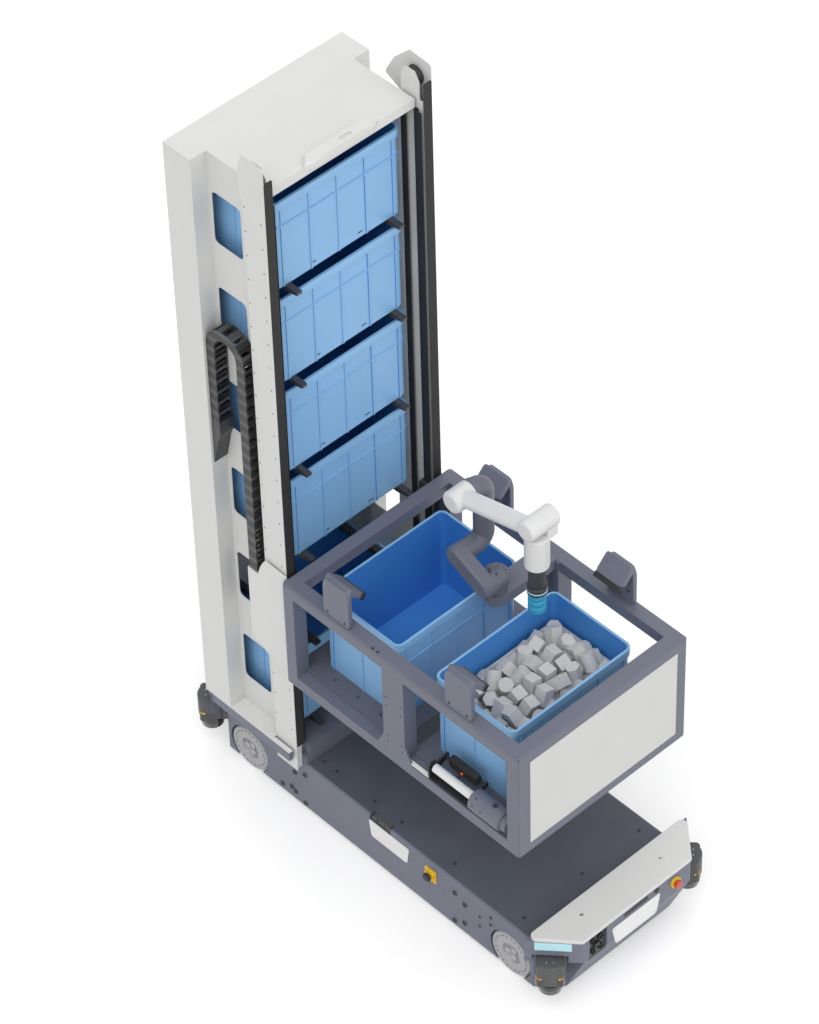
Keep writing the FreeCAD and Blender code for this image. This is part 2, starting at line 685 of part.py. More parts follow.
def head(name, detailed):
    """A bumper head that caps one end of the base."""
    item = Solid(name)
    item.pad("xy", [head_outline("0")], "deck_z", "head_top")
    item.pocket("xy", [[("8", "-(head_half_y - 26)"), ("head_len - 24", "-(head_half_y - head_cut_y - 14)"),
                        ("head_len - 24", "head_half_y - head_cut_y - 14"), ("8", "head_half_y - 26")]],
                "deck_z", "head_top - 6")
    nose = "hull_nose - head_back"
    low_y = "hull_half_y - nose_cut_y"
    wedge = [(nose, "hull_low"), ("head_len", "head_fold"), ("head_len", "deck_z"), (nose, "deck_z")]
    item.pad("xz", [wedge], "-(%s)" % low_y, low_y)
    for sign in (1, -1):
        flap = [(nose, low_y), ("head_len", low_y), ("head_len", "head_half_y - head_cut_y - 8"),
                ("head_cut_x", "head_half_y - head_cut_y"), ("0", "head_half_y"),
                ("0", "%s + (%s) * nose_cut_y / nose_cut_x" % (low_y, nose))]
        item.pad("xy", [mirrored(flap, sign)], "head_fold", "deck_z")
        item.pocket("xy", [("circle", "scan_x - head_start", "%d * (scan_y)" % sign, "notch_r")],
                    "head_fold - 80", "deck_z + 4")
    if detailed:
        item.pocket("yz", [rect("port_y - port_w / 2", "port_y + port_w / 2", "port_z", "port_z + port_tall")],
                    "head_len - port_deep", "head_len + 1")
        item.pocket("yz", [("round", "slot_y - slot_w / 2", "slot_y + slot_w / 2", "slot_z", "slot_z + slot_tall",
                            "slot_tall / 2 - 0.1")], "head_len - 12", "head_len + 1")
        item.pocket("yz", [("circle", "eye_y", "eye_z", "eye_rad")], "head_len - 14", "head_len + 1")
        item.pocket("yz", [("circle", "stop_y", "stop_z", "stop_stem + side_gap")], "head_len - 22", "head_len + 1")
    return item.body


keep(head("front_head", True), "front_head", ("datum_x + head_start", "0", "0"))
rear_start = "datum_x - axle_rear - head_back"
keep(head("rear_head", False), "rear_head", (rear_start, "0", "0"), ((0, 0, 1), "180"))

cover = Solid("front_cover")
cover.pad("xy", [head_outline("cover_lip")], "head_top", "head_top + cover_t")
cover.dress("Fillet", "tip_r", lambda d, c, e: abs(d.z) > 0.99 and c.x < 0)
cover.dress("Fillet", "4", lambda d, c, e: near(c.z, "head_top + cover_t"))
keep(cover.body, "front_cover", ("datum_x + head_start", "0", "0"))


def led_strips():
    """A light strip on each cut corner of a head."""
    strips = []
    for sign in (1, -1):
        item = doc.addObject("Part::Box", "Strip")
        bind(item, "Length", "led_len")
        bind(item, "Width", "led_t")
        bind(item, "Height", "led_tall")
        along = "(hypot(head_cut_x; head_cut_y) - led_len) / 2"
        x = "%s * cos(head_turn)" % along
        y = "head_half_y - (%s) * sin(head_turn)" % along
        if sign > 0:
            place(item, (x, y, "led_z"), ((0, 0, -1), "head_turn"))
        else:
            shift = "(%s + led_len)" % along
            place(item, (shift + " * cos(head_turn)", "-(head_half_y - %s * sin(head_turn))" % shift, "led_z"),
                  ((0, 0, 1), "180 deg + head_turn"))
        strips.append(item)
    return fuse(*strips)


strips = doc.addObject("Part::Compound", "Strips")
strips.Links = [place(led_strips(), ("head_start", "0", "0")),
                place(led_strips(), ("-axle_rear - head_back", "0", "0"), ((0, 0, 1), "180"))]
keep(strips, "light_strips")


def stop_collar(name, bracket):
    """Collar of a stop button, pointing along +X from its seat."""
    item = Solid(name)
    item.pad("yz", [("circle", "0", "0", "collar_rad")], "0", "collar_t")
    if bracket:
        item.pad("yz", [("round", "-30", "30", "-34", "30", "8")], "-3", "0")
    low = "-3 - 1" if bracket else "-1"
    item.pocket("yz", [("circle", "0", "0", "stop_stem + run_fit")], low, "collar_t + 1")
    return item.body


def stop_button(name, depth):
    """Mushroom button on its stem."""
    item = Solid(name)
    top = "collar_t + stop_travel + side_gap"
    profile = [("-(%s)" % depth, "0"), ("-(%s)" % depth, "stop_stem"), (top, "stop_stem"), (top, "stop_rad - 2"),
               (top + " + 3", "stop_rad"), (top + " + stop_head - 4", "stop_rad"),
               (top + " + stop_head", "stop_rad - 5"), (top + " + stop_head", "0")]
    item.turn("Revolution", "xy", [profile], axis="H_Axis")
    return item.body


front_stop = ("datum_x + stop_x", "stop_y", "stop_z")
keep(stop_collar("stop_collar_front", False), "stop_collar_front", front_stop)
keep(stop_button("stop_button_front", "12"), "stop_button_front", front_stop)
side_stop = ("datum_x + side_stop_x", "-hull_half_y - 3", "side_stop_z")
keep(stop_collar("stop_collar_side", True), "stop_collar_side", side_stop, ((0, 0, -1), "90"))
keep(stop_button("stop_button_side", "-(stop_travel - 3 + 1)"), "stop_button_side", side_stop, ((0, 0, -1), "90"))


def scanner_form():
    """Safety scanner: mounting foot, housing and dark dome below."""
    item = Solid("scanner_form")
    back = "-scan_out"
    item.pad("xy", [rect(back, "0", "-scan_rad + 6", "scan_rad - 6")], "scan_z", "scan_z + foot_tall")
    item.pad("xy", [("circle", "0", "0", "scan_rad")], "scan_z", "scan_z + scan_tall")
    item.pad("xy", [("round", "-scan_rad + 4", "scan_rad - 8", "-scan_rad", "scan_rad", "16")], "scan_z + 8",
             "scan_z + scan_tall")
    item.dress("Fillet", "6", lambda d, c, e: near(c.z, "scan_z + scan_tall"))
    dome = [("0", "scan_z - dome_tall"), ("scan_rad * 0.5", "scan_z - dome_tall"),
            ("scan_rad * 0.86", "scan_z - dome_tall * 0.72"), ("scan_rad * 0.96", "scan_z - dome_tall * 0.35"),
            ("scan_rad * 0.96", "scan_z - 8"), ("scan_rad * 0.88", "scan_z - 8"), ("scan_rad * 0.88", "scan_z + 1"),
            ("0", "scan_z + 1")]
    item.turn("Revolution", "xz", [dome])
    return item.body


scanner = scanner_form()
for label, sx, sy, angle in (("scanner_front_left", 1, 1, "nose_turn"),
                             ("scanner_front_right", 1, -1, "360 deg - nose_turn"),
                             ("scanner_rear_left", -1, 1, "180 deg - nose_turn"),
                             ("scanner_rear_right", -1, -1, "180 deg + nose_turn")):
    x = "datum_x + mid_axle + %d * (scan_x - mid_axle)" % sx
    keep(again(scanner), label, (x, "%d * (scan_y)" % sy, "0"), ((0, 0, 1), angle))

module = Solid("rear_module")
back = "-axle_rear - head_back"
side = "hull_half_y"
module.pad("xy", [rect(back, "-step_front", "-" + side, side)], "deck_z", "band_z")
module.pad("xy", [rect(back, "-band_front", "-module_half_y", "module_half_y")], "band_z", "shelf_z")
module.pad("xy", [rect(back, "-step_front", "-(recess_y - skin)", "recess_y - skin")], "band_z", "step_z")
module.pocket("xy", [rect(back + " + 6", "-step_front - 6", "-(recess_y - 20)", "recess_y - 20")],
              "deck_z", "shelf_z - 6")
for sign in (1, -1):
    slot = rect("-col_back - 2", "-band_front + 1", side, "col_out + 7")
    module.pocket("xy", [mirrored(slot, sign)], "band_z - 1", "shelf_z + 1")
keep(module.body, "rear_module")

# ---------------------------------------------------------------- mast
shell = Solid("mast_rear_cover")
y = "module_half_y"
w = "recess_y"
b = "-mast_back"
f = "-flange_front"
section = [(f, "-" + w), (f, "-" + y), (b, "-" + y), (b, y), (f, y), (f, w), (f + " - skin", w),
           (f + " - skin", y + " - skin"), (b + " + skin", y + " - skin"), (b + " + skin", "-%s + skin" % y),
           (f + " - skin", "-%s + skin" % y), (f + " - skin", "-" + w)]
shell.pad("xy", [section], "shelf_z", "mast_top_z")
keep(shell.body, "mast_rear_cover")


def mast_panel(name, sign):
    """Side sheet at the recess floor with a window at each rack level."""
    item = Solid(name)
    floor = rect("-flange_front - skin", "-col_back", "recess_y - skin", "recess_y")
    item.pad("xy", [mirrored(floor, sign)], "step_z", "mast_top_z")
    shelf = [("-flange_front", "recess_y"), ("-col_back - side_gap", "recess_y"), ("-col_back - side_gap", "col_out + 8"),
             ("-band_front", "col_out + 8"), ("-band_front", "module_half_y"), ("-flange_front", "module_half_y")]
    item.pad("xy", [mirrored(shelf, sign)], "shelf_z", "shelf_z + skin")
    item.pad("xy", [mirrored(rect("-flange_front", "-col_back - side_gap", "recess_y - skin", "recess_y"), sign)],
             "shelf_z", "step_z")
    low = "win_top - 5 * level_pitch - win_tall"
    window = ("round", "-win_x", "-win_x + win_len", low, "win_top - 5 * level_pitch", "win_r")
    across = ("recess_y - skin - 1", "recess_y + 1") if sign > 0 else ("-recess_y - 1", "-(recess_y - skin - 1)")
    hole = item.pocket("xz", [window], *across)
    item.along(hole, "Z", "level_pitch", 6)
    return item.body


keep(mast_panel("mast_panel_left", 1), "mast_panel_left")
keep(mast_panel("mast_panel_right", -1), "mast_panel_right")


def mast_column(name, sign):
    """Front column: a box tube, its outer plate, and the belt pulley tab."""
    item = Solid(name)

    def across(low, high):
        return (low, high) if sign > 0 else ("-(%s)" % high, "-(%s)" % low)

    tube = [("-col_back", "recess_y - skin"), ("-col_back", "col_out - skin"), ("-col_front", "col_out - skin"),
            ("-col_front", "col_in"), ("-col_back + skin", "col_in"), ("-col_back + skin", "recess_y - skin")]
    item.pad("xy", [mirrored(tube, sign)], "shelf_z", "mast_top_z")
    hollow = rect("-col_back + skin", "-col_front - skin", "col_in + skin", "col_out - skin")
    item.pocket("xy", [mirrored(hollow, sign)], "shelf_z", "mast_top_z")
    front = "-col_front + col_lip"
    reach = "-col_back - " + ("tab_back" if sign > 0 else "tab_short")
    slant = front + " - 184" if sign > 0 else reach
    plate = [("-col_back", "col_low"), (front, "col_low"), (front, "mast_top_z + tab_tall - 18"),
             (front + " - 10", "mast_top_z + tab_tall - 8"), (front + " - 105", "mast_top_z + tab_tall"),
             (slant, "mast_top_z + tab_tall / 2"), (reach, "mast_top_z"),
             (reach, "mast_top_z - 14"), ("-col_back", "mast_top_z - 70")]
    item.pad("xz", [plate], *across("col_out - skin", "col_out"))
    item.dress("Fillet", "16", lambda d, c, e: abs(d.y) > 0.99 and c.z > num("mast_top_z + tab_tall - 20"))
    strip = rect("-col_front - skin", "-col_front", "hull_half_y + side_gap", "col_out - skin")
    item.pad("xy", [mirrored(strip, sign)], "col_low", "shelf_z")
    hexagon = [("-pulley_x + 46 * cos(%d)" % a, "pulley_z + 46 * sin(%d)" % a) for a in (0, 60, 120, 180)]
    ear = hexagon + [("-pulley_x - 46", "mast_top_z - 6"), ("-pulley_x + 46", "mast_top_z - 6")]
    item.pad("xz", [ear], *across("col_in", "col_in + skin"))
    item.pad("xz", [("circle", "-pulley_x", "pulley_z", "pin_rad")], *across("col_in + skin - 1", "col_out - skin + 1"))
    return item.body


keep(mast_column("mast_column_left", 1), "mast_column_left")
keep(mast_column("mast_column_right", -1), "mast_column_right")

pulley = Solid("pulley_form")
half = "pulley_w / 2"
pulley.turn("Revolution", "xy", [[("pin_rad + run_fit", "-(%s)" % half), ("pulley_rad + 3", "-(%s)" % half),
                                  ("pulley_rad + 3", "-(%s) + 2" % half), ("pulley_rad", "-(%s) + 2" % half),
                                  ("pulley_rad", "%s - 2" % half), ("pulley_rad + 3", "%s - 2" % half),
                                  ("pulley_rad + 3", half), ("pin_rad + run_fit", half)]])
arms = pulley.pocket("xz", [("circle", "(pulley_rad + pin_rad) / 2 + 1", "0", "6")], "-(%s) - 1" % half, "%s + 1" % half)
pulley.around(arms, "Y", 5)
for label, sign in (("belt_pulley_left", "1"), ("belt_pulley_right", "-1")):
    keep(again(pulley.body), label, ("datum_x - pulley_x", "%s * (col_in + col_out) / 2" % sign, "pulley_z"))

top = Solid("mast_top")
lid = [("-mast_back", "-module_half_y"), ("-flange_front", "-module_half_y"), ("-flange_front", "-recess_y"),
       ("-col_front - 30", "-recess_y"), ("-col_front - 30", "recess_y"), ("-flange_front", "recess_y"),
       ("-flange_front", "module_half_y"), ("-mast_back", "module_half_y")]
top.pad("xy", [lid], "mast_top_z", "mast_top_z + skin")
top.pad("xy", [rect("-col_front - 30 - skin", "-col_front - 30", "-recess_y", "recess_y")], "mast_top_z - 34", "mast_top_z")
edge = "-col_front - 30"
hood = [(edge + " - hood_deep + 14", "-hood_len / 2 + 26"), (edge, "-hood_len / 2"), (edge + " + 12", "-hood_len / 2 + 34"),
        (edge + " + 12", "hood_len / 2 - 34"), (edge, "hood_len / 2"), (edge + " - hood_deep + 14", "hood_len / 2 - 26")]
top.pad("xy", [hood], "mast_top_z - 10", "mast_top_z + hood_up")
top.dress("Chamfer", "10", lambda d, c, e: near(c.z, "mast_top_z + hood_up") and abs(d.y) < 0.99)
top.pocket("xy", [("round", edge + " - 18", edge + " - 4", "4", "56", "6.9")], "mast_top_z + hood_up - 5",
           "mast_top_z + hood_up + 1")
keep(top.body, "mast_top")

rails = []
for sign in (1, -1):
    inner, outer = ("col_in - rail_h", "col_in") if sign > 0 else ("-col_in", "-(col_in - rail_h)")
    bar = cuboid("-rail_x - rail_w / 2", "-rail_x + rail_w / 2", inner, outer, "step_z + 6", "mast_top_z - 40")
    groove_y = ("col_in - rail_h / 2 - 2", "col_in - rail_h / 2 + 2")
    if sign < 0:
        groove_y = ("-(col_in - rail_h / 2 + 2)", "-(col_in - rail_h / 2 - 2)")
    grooves = [cuboid("-rail_x - rail_w / 2 - 1", "-rail_x - rail_w / 2 + 2", *groove_y, "step_z", "mast_top_z"),
               cuboid("-rail_x + rail_w / 2 - 2", "-rail_x + rail_w / 2 + 1", *groove_y, "step_z", "mast_top_z")]
    rails.append(cut(bar, *grooves))
keep(fuse(*rails), "lift_rails")


def rack_support(name, sign):
    """Flat upright with a tapered prong bolted on under every tote place."""
    upright = Solid(name + "_upright")
    y0 = "%d * prong_y - prong_w / 2" % sign
    y1 = "%d * prong_y + prong_w / 2" % sign
    back = "-mast_back + skin"
    face = back + " + rack_bar"
    upright.pad("xy", [rect(back, face, y0 + " - 6", y1 + " + 6")], "step_z", "level_top + tote_z * 0.8")
    low = "level_low"
    blade = [(face, low + " - prong_tall"), ("-prong_tip - 60", low + " - prong_tall"),
             ("-prong_tip", low + " - prong_tall / 2"), ("-prong_tip", low), (face, low)]
    prong = Solid(name + "_prong")
    prong.pad("xz", [blade], y0, y1)
    support = doc.addObject("Part::Compound", "Support")
    support.Links = [upright.body] + [place(again(prong.body), ("0", "0", "%d * level_pitch" % k)) for k in range(6)]
    return support


keep(rack_support("rack_support_left", 1), "rack_support_left")
keep(rack_support("rack_support_right", -1), "rack_support_right")


# ---------------------------------------------------------------- totes
def tote_form():
    """Stacking tote: tapered-looking ribbed walls, a deep rim and a hollow inside."""
    item = Solid("tote_form")
    x = "tote_x / 2"
    y = "tote_y / 2"
    body = ("round", "-%s + tote_rim" % x, "%s - tote_rim" % x, "-%s + tote_rim" % y, "%s - tote_rim" % y, "tote_r")
    item.pad("xy", [body], "0", "tote_z")
    rim = ("round", "-" + x, x, "-" + y, y, "tote_r + tote_rim")
    item.pad("xy", [rim], "tote_z - tote_band", "tote_z")
    belt = ("round", "-%s + 3" % x, "%s - 3" % x, "-%s + 3" % y, "%s - 3" % y, "tote_r + 4")
    item.pad("xy", [belt], "tote_z * 0.7", "tote_z * 0.7 + 5")
    ribs = []
    for k in (-2, -1, 0, 1, 2):
        at = "%d * (tote_y / 2 - tote_r - tote_rim - 12) / 2" % k
        ribs.append(rect("-%s + 3" % x, "%s - 3" % x, at + " - tote_rib / 2", at + " + tote_rib / 2"))
    item.pad("xy", ribs, "0", "tote_z - tote_band")
    ribs = []
    for k in (-1, 0, 1):
        at = "%d * (tote_x / 2 - tote_r - tote_rim - 12)" % k
        ribs.append(rect(at + " - tote_rib / 2", at + " + tote_rib / 2", "-%s + 3" % y, "%s - 3" % y))
    item.pad("xy", ribs, "0", "tote_z - tote_band")
    wall = "tote_rim + tote_wall"
    inside = ("round", "-%s + %s" % (x, wall), "%s - (%s)" % (x, wall), "-%s + %s" % (y, wall),
              "%s - (%s)" % (y, wall), "tote_r - tote_wall")
    item.pocket("xy", [inside], "tote_wall", "tote_z")
    return item.body


tote = tote_form()
for level in (1, 2, 3, 4, 6):
    up = "level_top - %d * level_pitch" % (level - 1)
    keep(again(tote), "rack_tote_%d" % level, ("datum_x - (tote_back) + tote_x / 2", "0", up))
for label, x in (("tote_rear", "rear_tote_x"), ("tote_front", "front_tote_x")):
    keep(again(tote), label, ("datum_x + %s + tote_x / 2" % x, "0", "lift_z + floor_up"))


def heap():
    """Loose goods in the front tote: boxes and rolls tipped this way and that."""
    half_x = num("tote_x / 2 - tote_rim - tote_wall - goods_gap")
    half_y = num("tote_y / 2 - tote_rim - tote_wall - goods_gap")
    fill = num("tote_z") * 0.82
    pile = [Part.makeBox(2 * half_x, 2 * half_y, fill, Vector(-half_x, -half_y, num("tote_wall") + 0.5))]
    across, along = 6, 9
    side = 46.0
    for i in range(across):
        for j in range(along):
            seed = (i * 37 + j * 61 + i * j * 13) % 100
            x = -half_x + 36 + i * (2 * half_x - 72) / (across - 1)
            y = -half_y + 36 + j * (2 * half_y - 72) / (along - 1)
            lift = fill - 6 + 0.22 * ((seed * 7) % 100)
            if seed % 4 == 3:
                piece = Part.makeCylinder(side * 0.36, side * 1.15, Vector(0, 0, -side * 0.57), Vector(0, 0, 1))
            else:
                depth = side * (0.8 + 0.3 * (seed % 3) / 2.0)
                piece = Part.makeBox(side * 0.8, depth, side * 0.8, Vector(-side * 0.4, -depth / 2, -side * 0.4))
            turn = FreeCAD.Rotation(seed * 3.6, 12 + (seed * 5) % 38, (seed * 11) % 50 - 25)
            piece.Placement = FreeCAD.Placement(Vector(x * 0.93, y * 0.95, lift), turn).multiply(piece.Placement)
            pile.append(piece)
    return pile[0].multiFuse(pile[1:])


goods = doc.addObject("Part::Feature", "Goods")
goods.Shape = heap()
keep(goods, "tote_goods", ("datum_x + front_tote_x + tote_x / 2", "0", "lift_z + floor_up"))

# ---------------------------------------------------------------- cable chain
CHAIN_OUT = "chain_in + chain_w"


def chain_run(name, centre, low, high):
    """Straight stretch of cable chain: two side plates joined by hollow bars."""
    item = Solid(name)
    x0 = centre + " - chain_t / 2"
    x1 = centre + " + chain_t / 2"
    y0 = "-(chain_in + chain_w)"
    y1 = "-chain_in"
    item.pad("xy", [rect(x0, x1, y0, y0 + " + chain_side")], low, high)
    base = low + " + (chain_pitch - chain_bar) / 2"
    bar = item.pad("yz", [rect(y0 + " + 1", y1 + " - 1", base, base + " + chain_bar")], x0 + " + 1", x1 + " - 1")
    number = int(num("(%s - (%s)) / chain_pitch" % (high, low)))
    item.along(bar, "Z", "chain_pitch", number)
    item.pad("xy", [rect(x0, x1, y1 + " - chain_side", y1)], low, high)
    hollow = rect(x0 + " + 5", x1 + " - 5", y0 + " + chain_side", y1 + " - chain_side")
    item.pocket("xy", [hollow], low, high)
    return item.body


keep(chain_run("chain_fixed_run", "-chain_x - chain_rad", "chain_foot", "chain_z"), "chain_fixed_run")
keep(chain_run("chain_moving_run", "-chain_x + chain_rad", "chain_end", "chain_z"), "chain_moving_run")

# the half turn above the two runs, its sides joined by bars set radially
loop = Solid("chain_loop")
outer_r = "chain_rad + chain_t / 2"
inner_r = "chain_rad - chain_t / 2"
loop.turn("Revolution", "xy", [rect(inner_r, outer_r, "-(%s)" % CHAIN_OUT, "-chain_in")], "180", back=True)
hollow = rect(inner_r + " + 5", outer_r + " - 5", "-(%s - chain_side)" % CHAIN_OUT, "-(chain_in + chain_side)")
loop.turn("Groove", "xy", [hollow], "180", back=True)
slit = loop.pocket("yz", [rect("-(%s - chain_side)" % CHAIN_OUT, "-(chain_in + chain_side)", "-7", "7")],
                   inner_r + " - 8", outer_r + " + 8")
loop.around(slit, "Y", 7, "180", back=True)
keep(loop.body, "chain_loop", ("datum_x - chain_x", "0", "chain_z"))

foot = Solid("chain_foot_bracket")
x0 = "-chain_x - chain_rad - chain_t / 2"
x1 = "-chain_x - chain_rad + chain_t / 2"
foot.pad("xz", [[(x0, "chain_foot"), (x0, "chain_foot - 220"), (x1 + " - 14", "chain_foot - 100"),
                 (x1, "chain_foot - 60"), (x1, "chain_foot")]], "-(%s)" % CHAIN_OUT, "-recess_y")
keep(foot.body, "chain_foot_bracket")

# ---------------------------------------------------------------- carriage
frame = Solid("frame_blank")
frame.pad("xy", [rect("-frame_back", "frame_front", "-frame_half_y", "frame_half_y")], "0", "frame_tall")
frame.dress("Fillet", "frame_r", lambda d, c, e: abs(d.z) > 0.99)
frame.dress("Fillet", "frame_r - 3", lambda d, c, e: near(c.z, "frame_tall"))
inner_y = "frame_half_y - post"
low_z = "rail_deep"
high_z = "frame_tall - rail_deep"
frame.pocket("xy", [rect("-frame_back + post", "frame_front - post", "-(%s)" % inner_y, inner_y)], "-1", "frame_tall + 1")
frame.pocket("xz", [rect("-frame_back + post", "mid_x", low_z, high_z),
                    rect("mid_x + mid_len", "frame_front - post", low_z, high_z)],
             "-frame_half_y - 1", "frame_half_y + 1")
frame.pocket("yz", [rect("-(%s)" % inner_y, inner_y, low_z, high_z)], "-frame_back - 1", "frame_front + 1")
gussets = [[("mid_x - 34", low_z), ("mid_x", low_z), ("mid_x", low_z + " + 70")],
           [("mid_x + mid_len", low_z), ("mid_x + mid_len + 34", low_z), ("mid_x + mid_len", low_z + " + 70")]]
frame.pad("xz", gussets, "-frame_half_y", "-(frame_half_y - 8)")
frame.pad("xz", gussets, "frame_half_y - 8", "frame_half_y")


def frame_cores():
    """The hollow inside of the carriage tubes, open under each post."""
    cores = []
    ends = [("-frame_back + tube_wall", "-frame_back + post - tube_wall"),
            ("frame_front - post + tube_wall", "frame_front - tube_wall")]
    levels = [("tube_wall", "rail_deep - tube_wall"),
              ("frame_tall - rail_deep + tube_wall", "frame_tall - tube_wall")]
    for sign in (1, -1):
        y0, y1 = "frame_half_y - post + tube_wall", "frame_half_y - tube_wall"
        if sign < 0:
            y0, y1 = "-(%s)" % y1, "-(%s)" % y0
        for x0, x1 in ends:
            cores.append(cuboid(x0, x1, y0, y1, "-1", "frame_tall - tube_wall"))
        for z0, z1 in levels:
            cores.append(cuboid(ends[0][0], ends[1][1], y0, y1, z0, z1))
        cores.append(cuboid("mid_x + tube_wall", "mid_x + mid_len - tube_wall", y0, y1, "tube_wall",
                            "frame_tall - tube_wall"))
    for x0, x1 in ends:
        for z0, z1 in levels:
            cores.append(cuboid(x0, x1, "-(frame_half_y - tube_wall)", "frame_half_y - tube_wall", z0, z1))
    return cores


carriage = ("datum_x", "0", "lift_z")
keep(cut(frame.body, *frame_cores()), "carriage_frame", carriage)


def tray(x0, x1, post_x0, post_x1):
    """Floor sheet that laps onto the rails, cut clear of the posts."""
    item = Solid("tray")
    lap = "frame_half_y - post + tray_edge"
    item.pad("xy", [rect(x0, x1, "-(%s)" % lap, lap)], "rail_deep", "rail_deep + tray_t")
    for sign in (1, -1):
        middle = rect("mid_x", "mid_x + mid_len", inner_y, "frame_half_y")
        corner_cut = rect(post_x0, post_x1, inner_y, "frame_half_y")
        item.pocket("xy", [mirrored(middle, sign), mirrored(corner_cut, sign)], "rail_deep - 1", "rail_deep + tray_t + 1")
    return item.body


floor = doc.addObject("Part::Compound", "Floor")
floor.Links = [tray("-frame_back + post - tray_edge", "mid_x + 20", "-frame_back", "-frame_back + post"),
               tray("mid_x + mid_len - 20", "frame_front - post + tray_edge", "frame_front - post", "frame_front")]
keep(floor, "carriage_floor", carriage)

panel = Solid("front_panel")
wide = "frame_half_y - post + panel_over"
panel.pad("yz", [rect("-(%s)" % wide, wide, "rail_deep - panel_over", "frame_tall - rail_deep + panel_over")],
          "frame_front", "frame_front + panel_t")
keep(panel.body, "front_panel", carriage)


def sensor_bracket(x, sign):
    """Upright plate with a sensor head that leans over the tote."""
    item = Solid("sensor_bracket")
    base = "frame_tall"
    out = "frame_half_y - 10"
    head_in = out + " - eye_t - eye_reach"
    profile = [(out, base), (out, base + " + eye_tall - 18"), (out + " - 14", base + " + eye_tall"),
               (head_in, base + " + eye_tall - 2"), (head_in, base + " + eye_tall - 20"),
               (head_in + " + 14", base + " + eye_tall - 30"), (out + " - eye_t", base + " + eye_tall - 44"),
               (out + " - eye_t", base)]
    item.pad("yz", [[("%d * (%s)" % (sign, a), b) for a, b in profile]], x, x + " + eye_len")
    item.dress("Fillet", "20", lambda d, c, e: abs(d.y) > 0.9 and c.z > num(base + " + eye_tall - 4"))
    return item.body


brackets = doc.addObject("Part::Compound", "Brackets")
brackets.Links = [sensor_bracket(x, sign) for sign in (1, -1) for x in ("eye_back_x", "eye_front_x")]
keep(brackets, "sensor_brackets", carriage)

apron = Solid("side_cover")
high = "cover_high"
outline = [("-cover_back", high), ("-cover_back", "84"), ("-cover_back + 92", "38"), ("-frame_back - 22", "38"),
           ("-frame_back", "20"), ("-frame_back", high + " + 79"), ("-cover_back + 88", high + " + 84"),
           ("-cover_back + 68", high + " + 44"), ("-cover_back + 55", high)]
apron.pad("xz", [outline], "-(cover_y + cover_w)", "-cover_y")
ledge = rect("-cover_back", "-cover_back + 54", "-cover_y - 2", "-(chain_in + 1)")
apron.pad("xy", [ledge], high + " - 8", high + " + skin")
keep(apron.body, "side_cover", carriage)


def guide_block(sign, z):
    """Block that straddles a lift rail, with its web to the carriage frame."""
    rail_face = "col_in - rail_h - side_gap"
    block_x = "-rail_x - guide_w / 2"

    def across(y0, y1):
        return (y0, y1) if sign > 0 else ("-(%s)" % y1, "-(%s)" % y0)

    top_z = z + " + guide_tall"
    pieces = [cuboid(block_x, "-frame_back", *across(rail_face + " - guide_w / 2", rail_face), z, top_z)]
    for c0, c1 in ((block_x, "-rail_x - rail_w / 2 - side_gap"),
                   ("-rail_x + rail_w / 2 + side_gap", "-rail_x + guide_w / 2")):
        pieces.append(cuboid(c0, c1, *across(rail_face + " - 1", "col_in - 2"), z, top_z))
    pieces.append(cuboid("-frame_back - 4", "-frame_back", *across(rail_face + " - 1", "frame_half_y - post / 2"), z, top_z))
    return fuse(*pieces)


guides = doc.addObject("Part::Compound", "Guides")
guides.Links = [guide_block(sign, z) for sign in (1, -1)
                for z in ("rail_deep", "frame_tall - rail_deep - guide_tall")]
keep(guides, "guide_blocks", carriage)

# transfer unit: a driven roller with two arms that press a pad on the tote
unit = Solid("transfer_unit")
shaft_y = "-roller_y"
foot_y = shaft_y + " + 22"
unit.pad("yz", [("circle", shaft_y, "roller_up", "motor_rad")], "motor_x", "motor_x + motor_len")
unit.pad("yz", [("circle", shaft_y, "roller_up", "motor_rad - 8")], "motor_x + motor_len", "motor_x + motor_len + 26")
unit.pad("yz", [rect(shaft_y + " - 20", foot_y, "rail_deep", "roller_up")], "motor_x", "motor_x + motor_len - 30")
cheek = [(shaft_y + " - 20", "rail_deep"), (foot_y, "rail_deep"), (shaft_y + " + 26", "roller_up"),
         (shaft_y + " + 12", "roller_up + 24"), (shaft_y + " - 12", "roller_up + 24"), (shaft_y + " - 24", "roller_up + 4")]
unit.pad("yz", [cheek], "roller_x - 16", "roller_x - 9")
unit.pad("yz", [cheek], "motor_x - 7", "motor_x")
unit.pad("xy", [rect("roller_x - 16", "motor_x", shaft_y + " - 20", foot_y)], "rail_deep", "rail_deep + 8")
unit.pad("yz", [("circle", shaft_y, "roller_up", "6")], "roller_x - 10", "motor_x - 6")
keep(unit.body, "transfer_unit", carriage)

roller = Solid("transfer_roller")
roller.pad("yz", [("circle", "0", "0", "roller_rad")], "0", "roller_len")
roller.pocket("yz", [("circle", "0", "0", "6 + run_fit")], "-1", "roller_len + 1")
keep(roller.body, "transfer_roller", ("datum_x + roller_x", shaft_y, "lift_z + roller_up"))

swing = Solid("transfer_arms")
arm_plate = [("-9", "-14"), ("12", "-15"), ("arm_reach", "6"), ("arm_reach + 6", "18"), ("arm_reach", "30"),
             ("6", "16"), ("-9", "12")]
swing.pad("yz", [arm_plate], "-8.7", "-side_gap")
swing.pad("yz", [("circle", "arm_reach - 10", "16", "5")], "-2", "roller_len + 2")
swing.pad("yz", [arm_plate], "roller_len + side_gap", "roller_len + 8.7")
pad_x = "(roller_len - pad_len) / 2"
swing.pad("xz", [("round", pad_x, pad_x + " + pad_len", "-8", "34", "20.9")], "arm_reach - 14", "arm_reach + 8")
swing.dress("Fillet", "5", lambda d, c, e: near(c.y, "arm_reach + 8"))
swing.pocket("yz", [("circle", "0", "0", "6 + run_fit")], "-9", "roller_len + 9")
keep(swing.body, "transfer_arms", ("datum_x + roller_x", shaft_y, "lift_z + roller_up"))

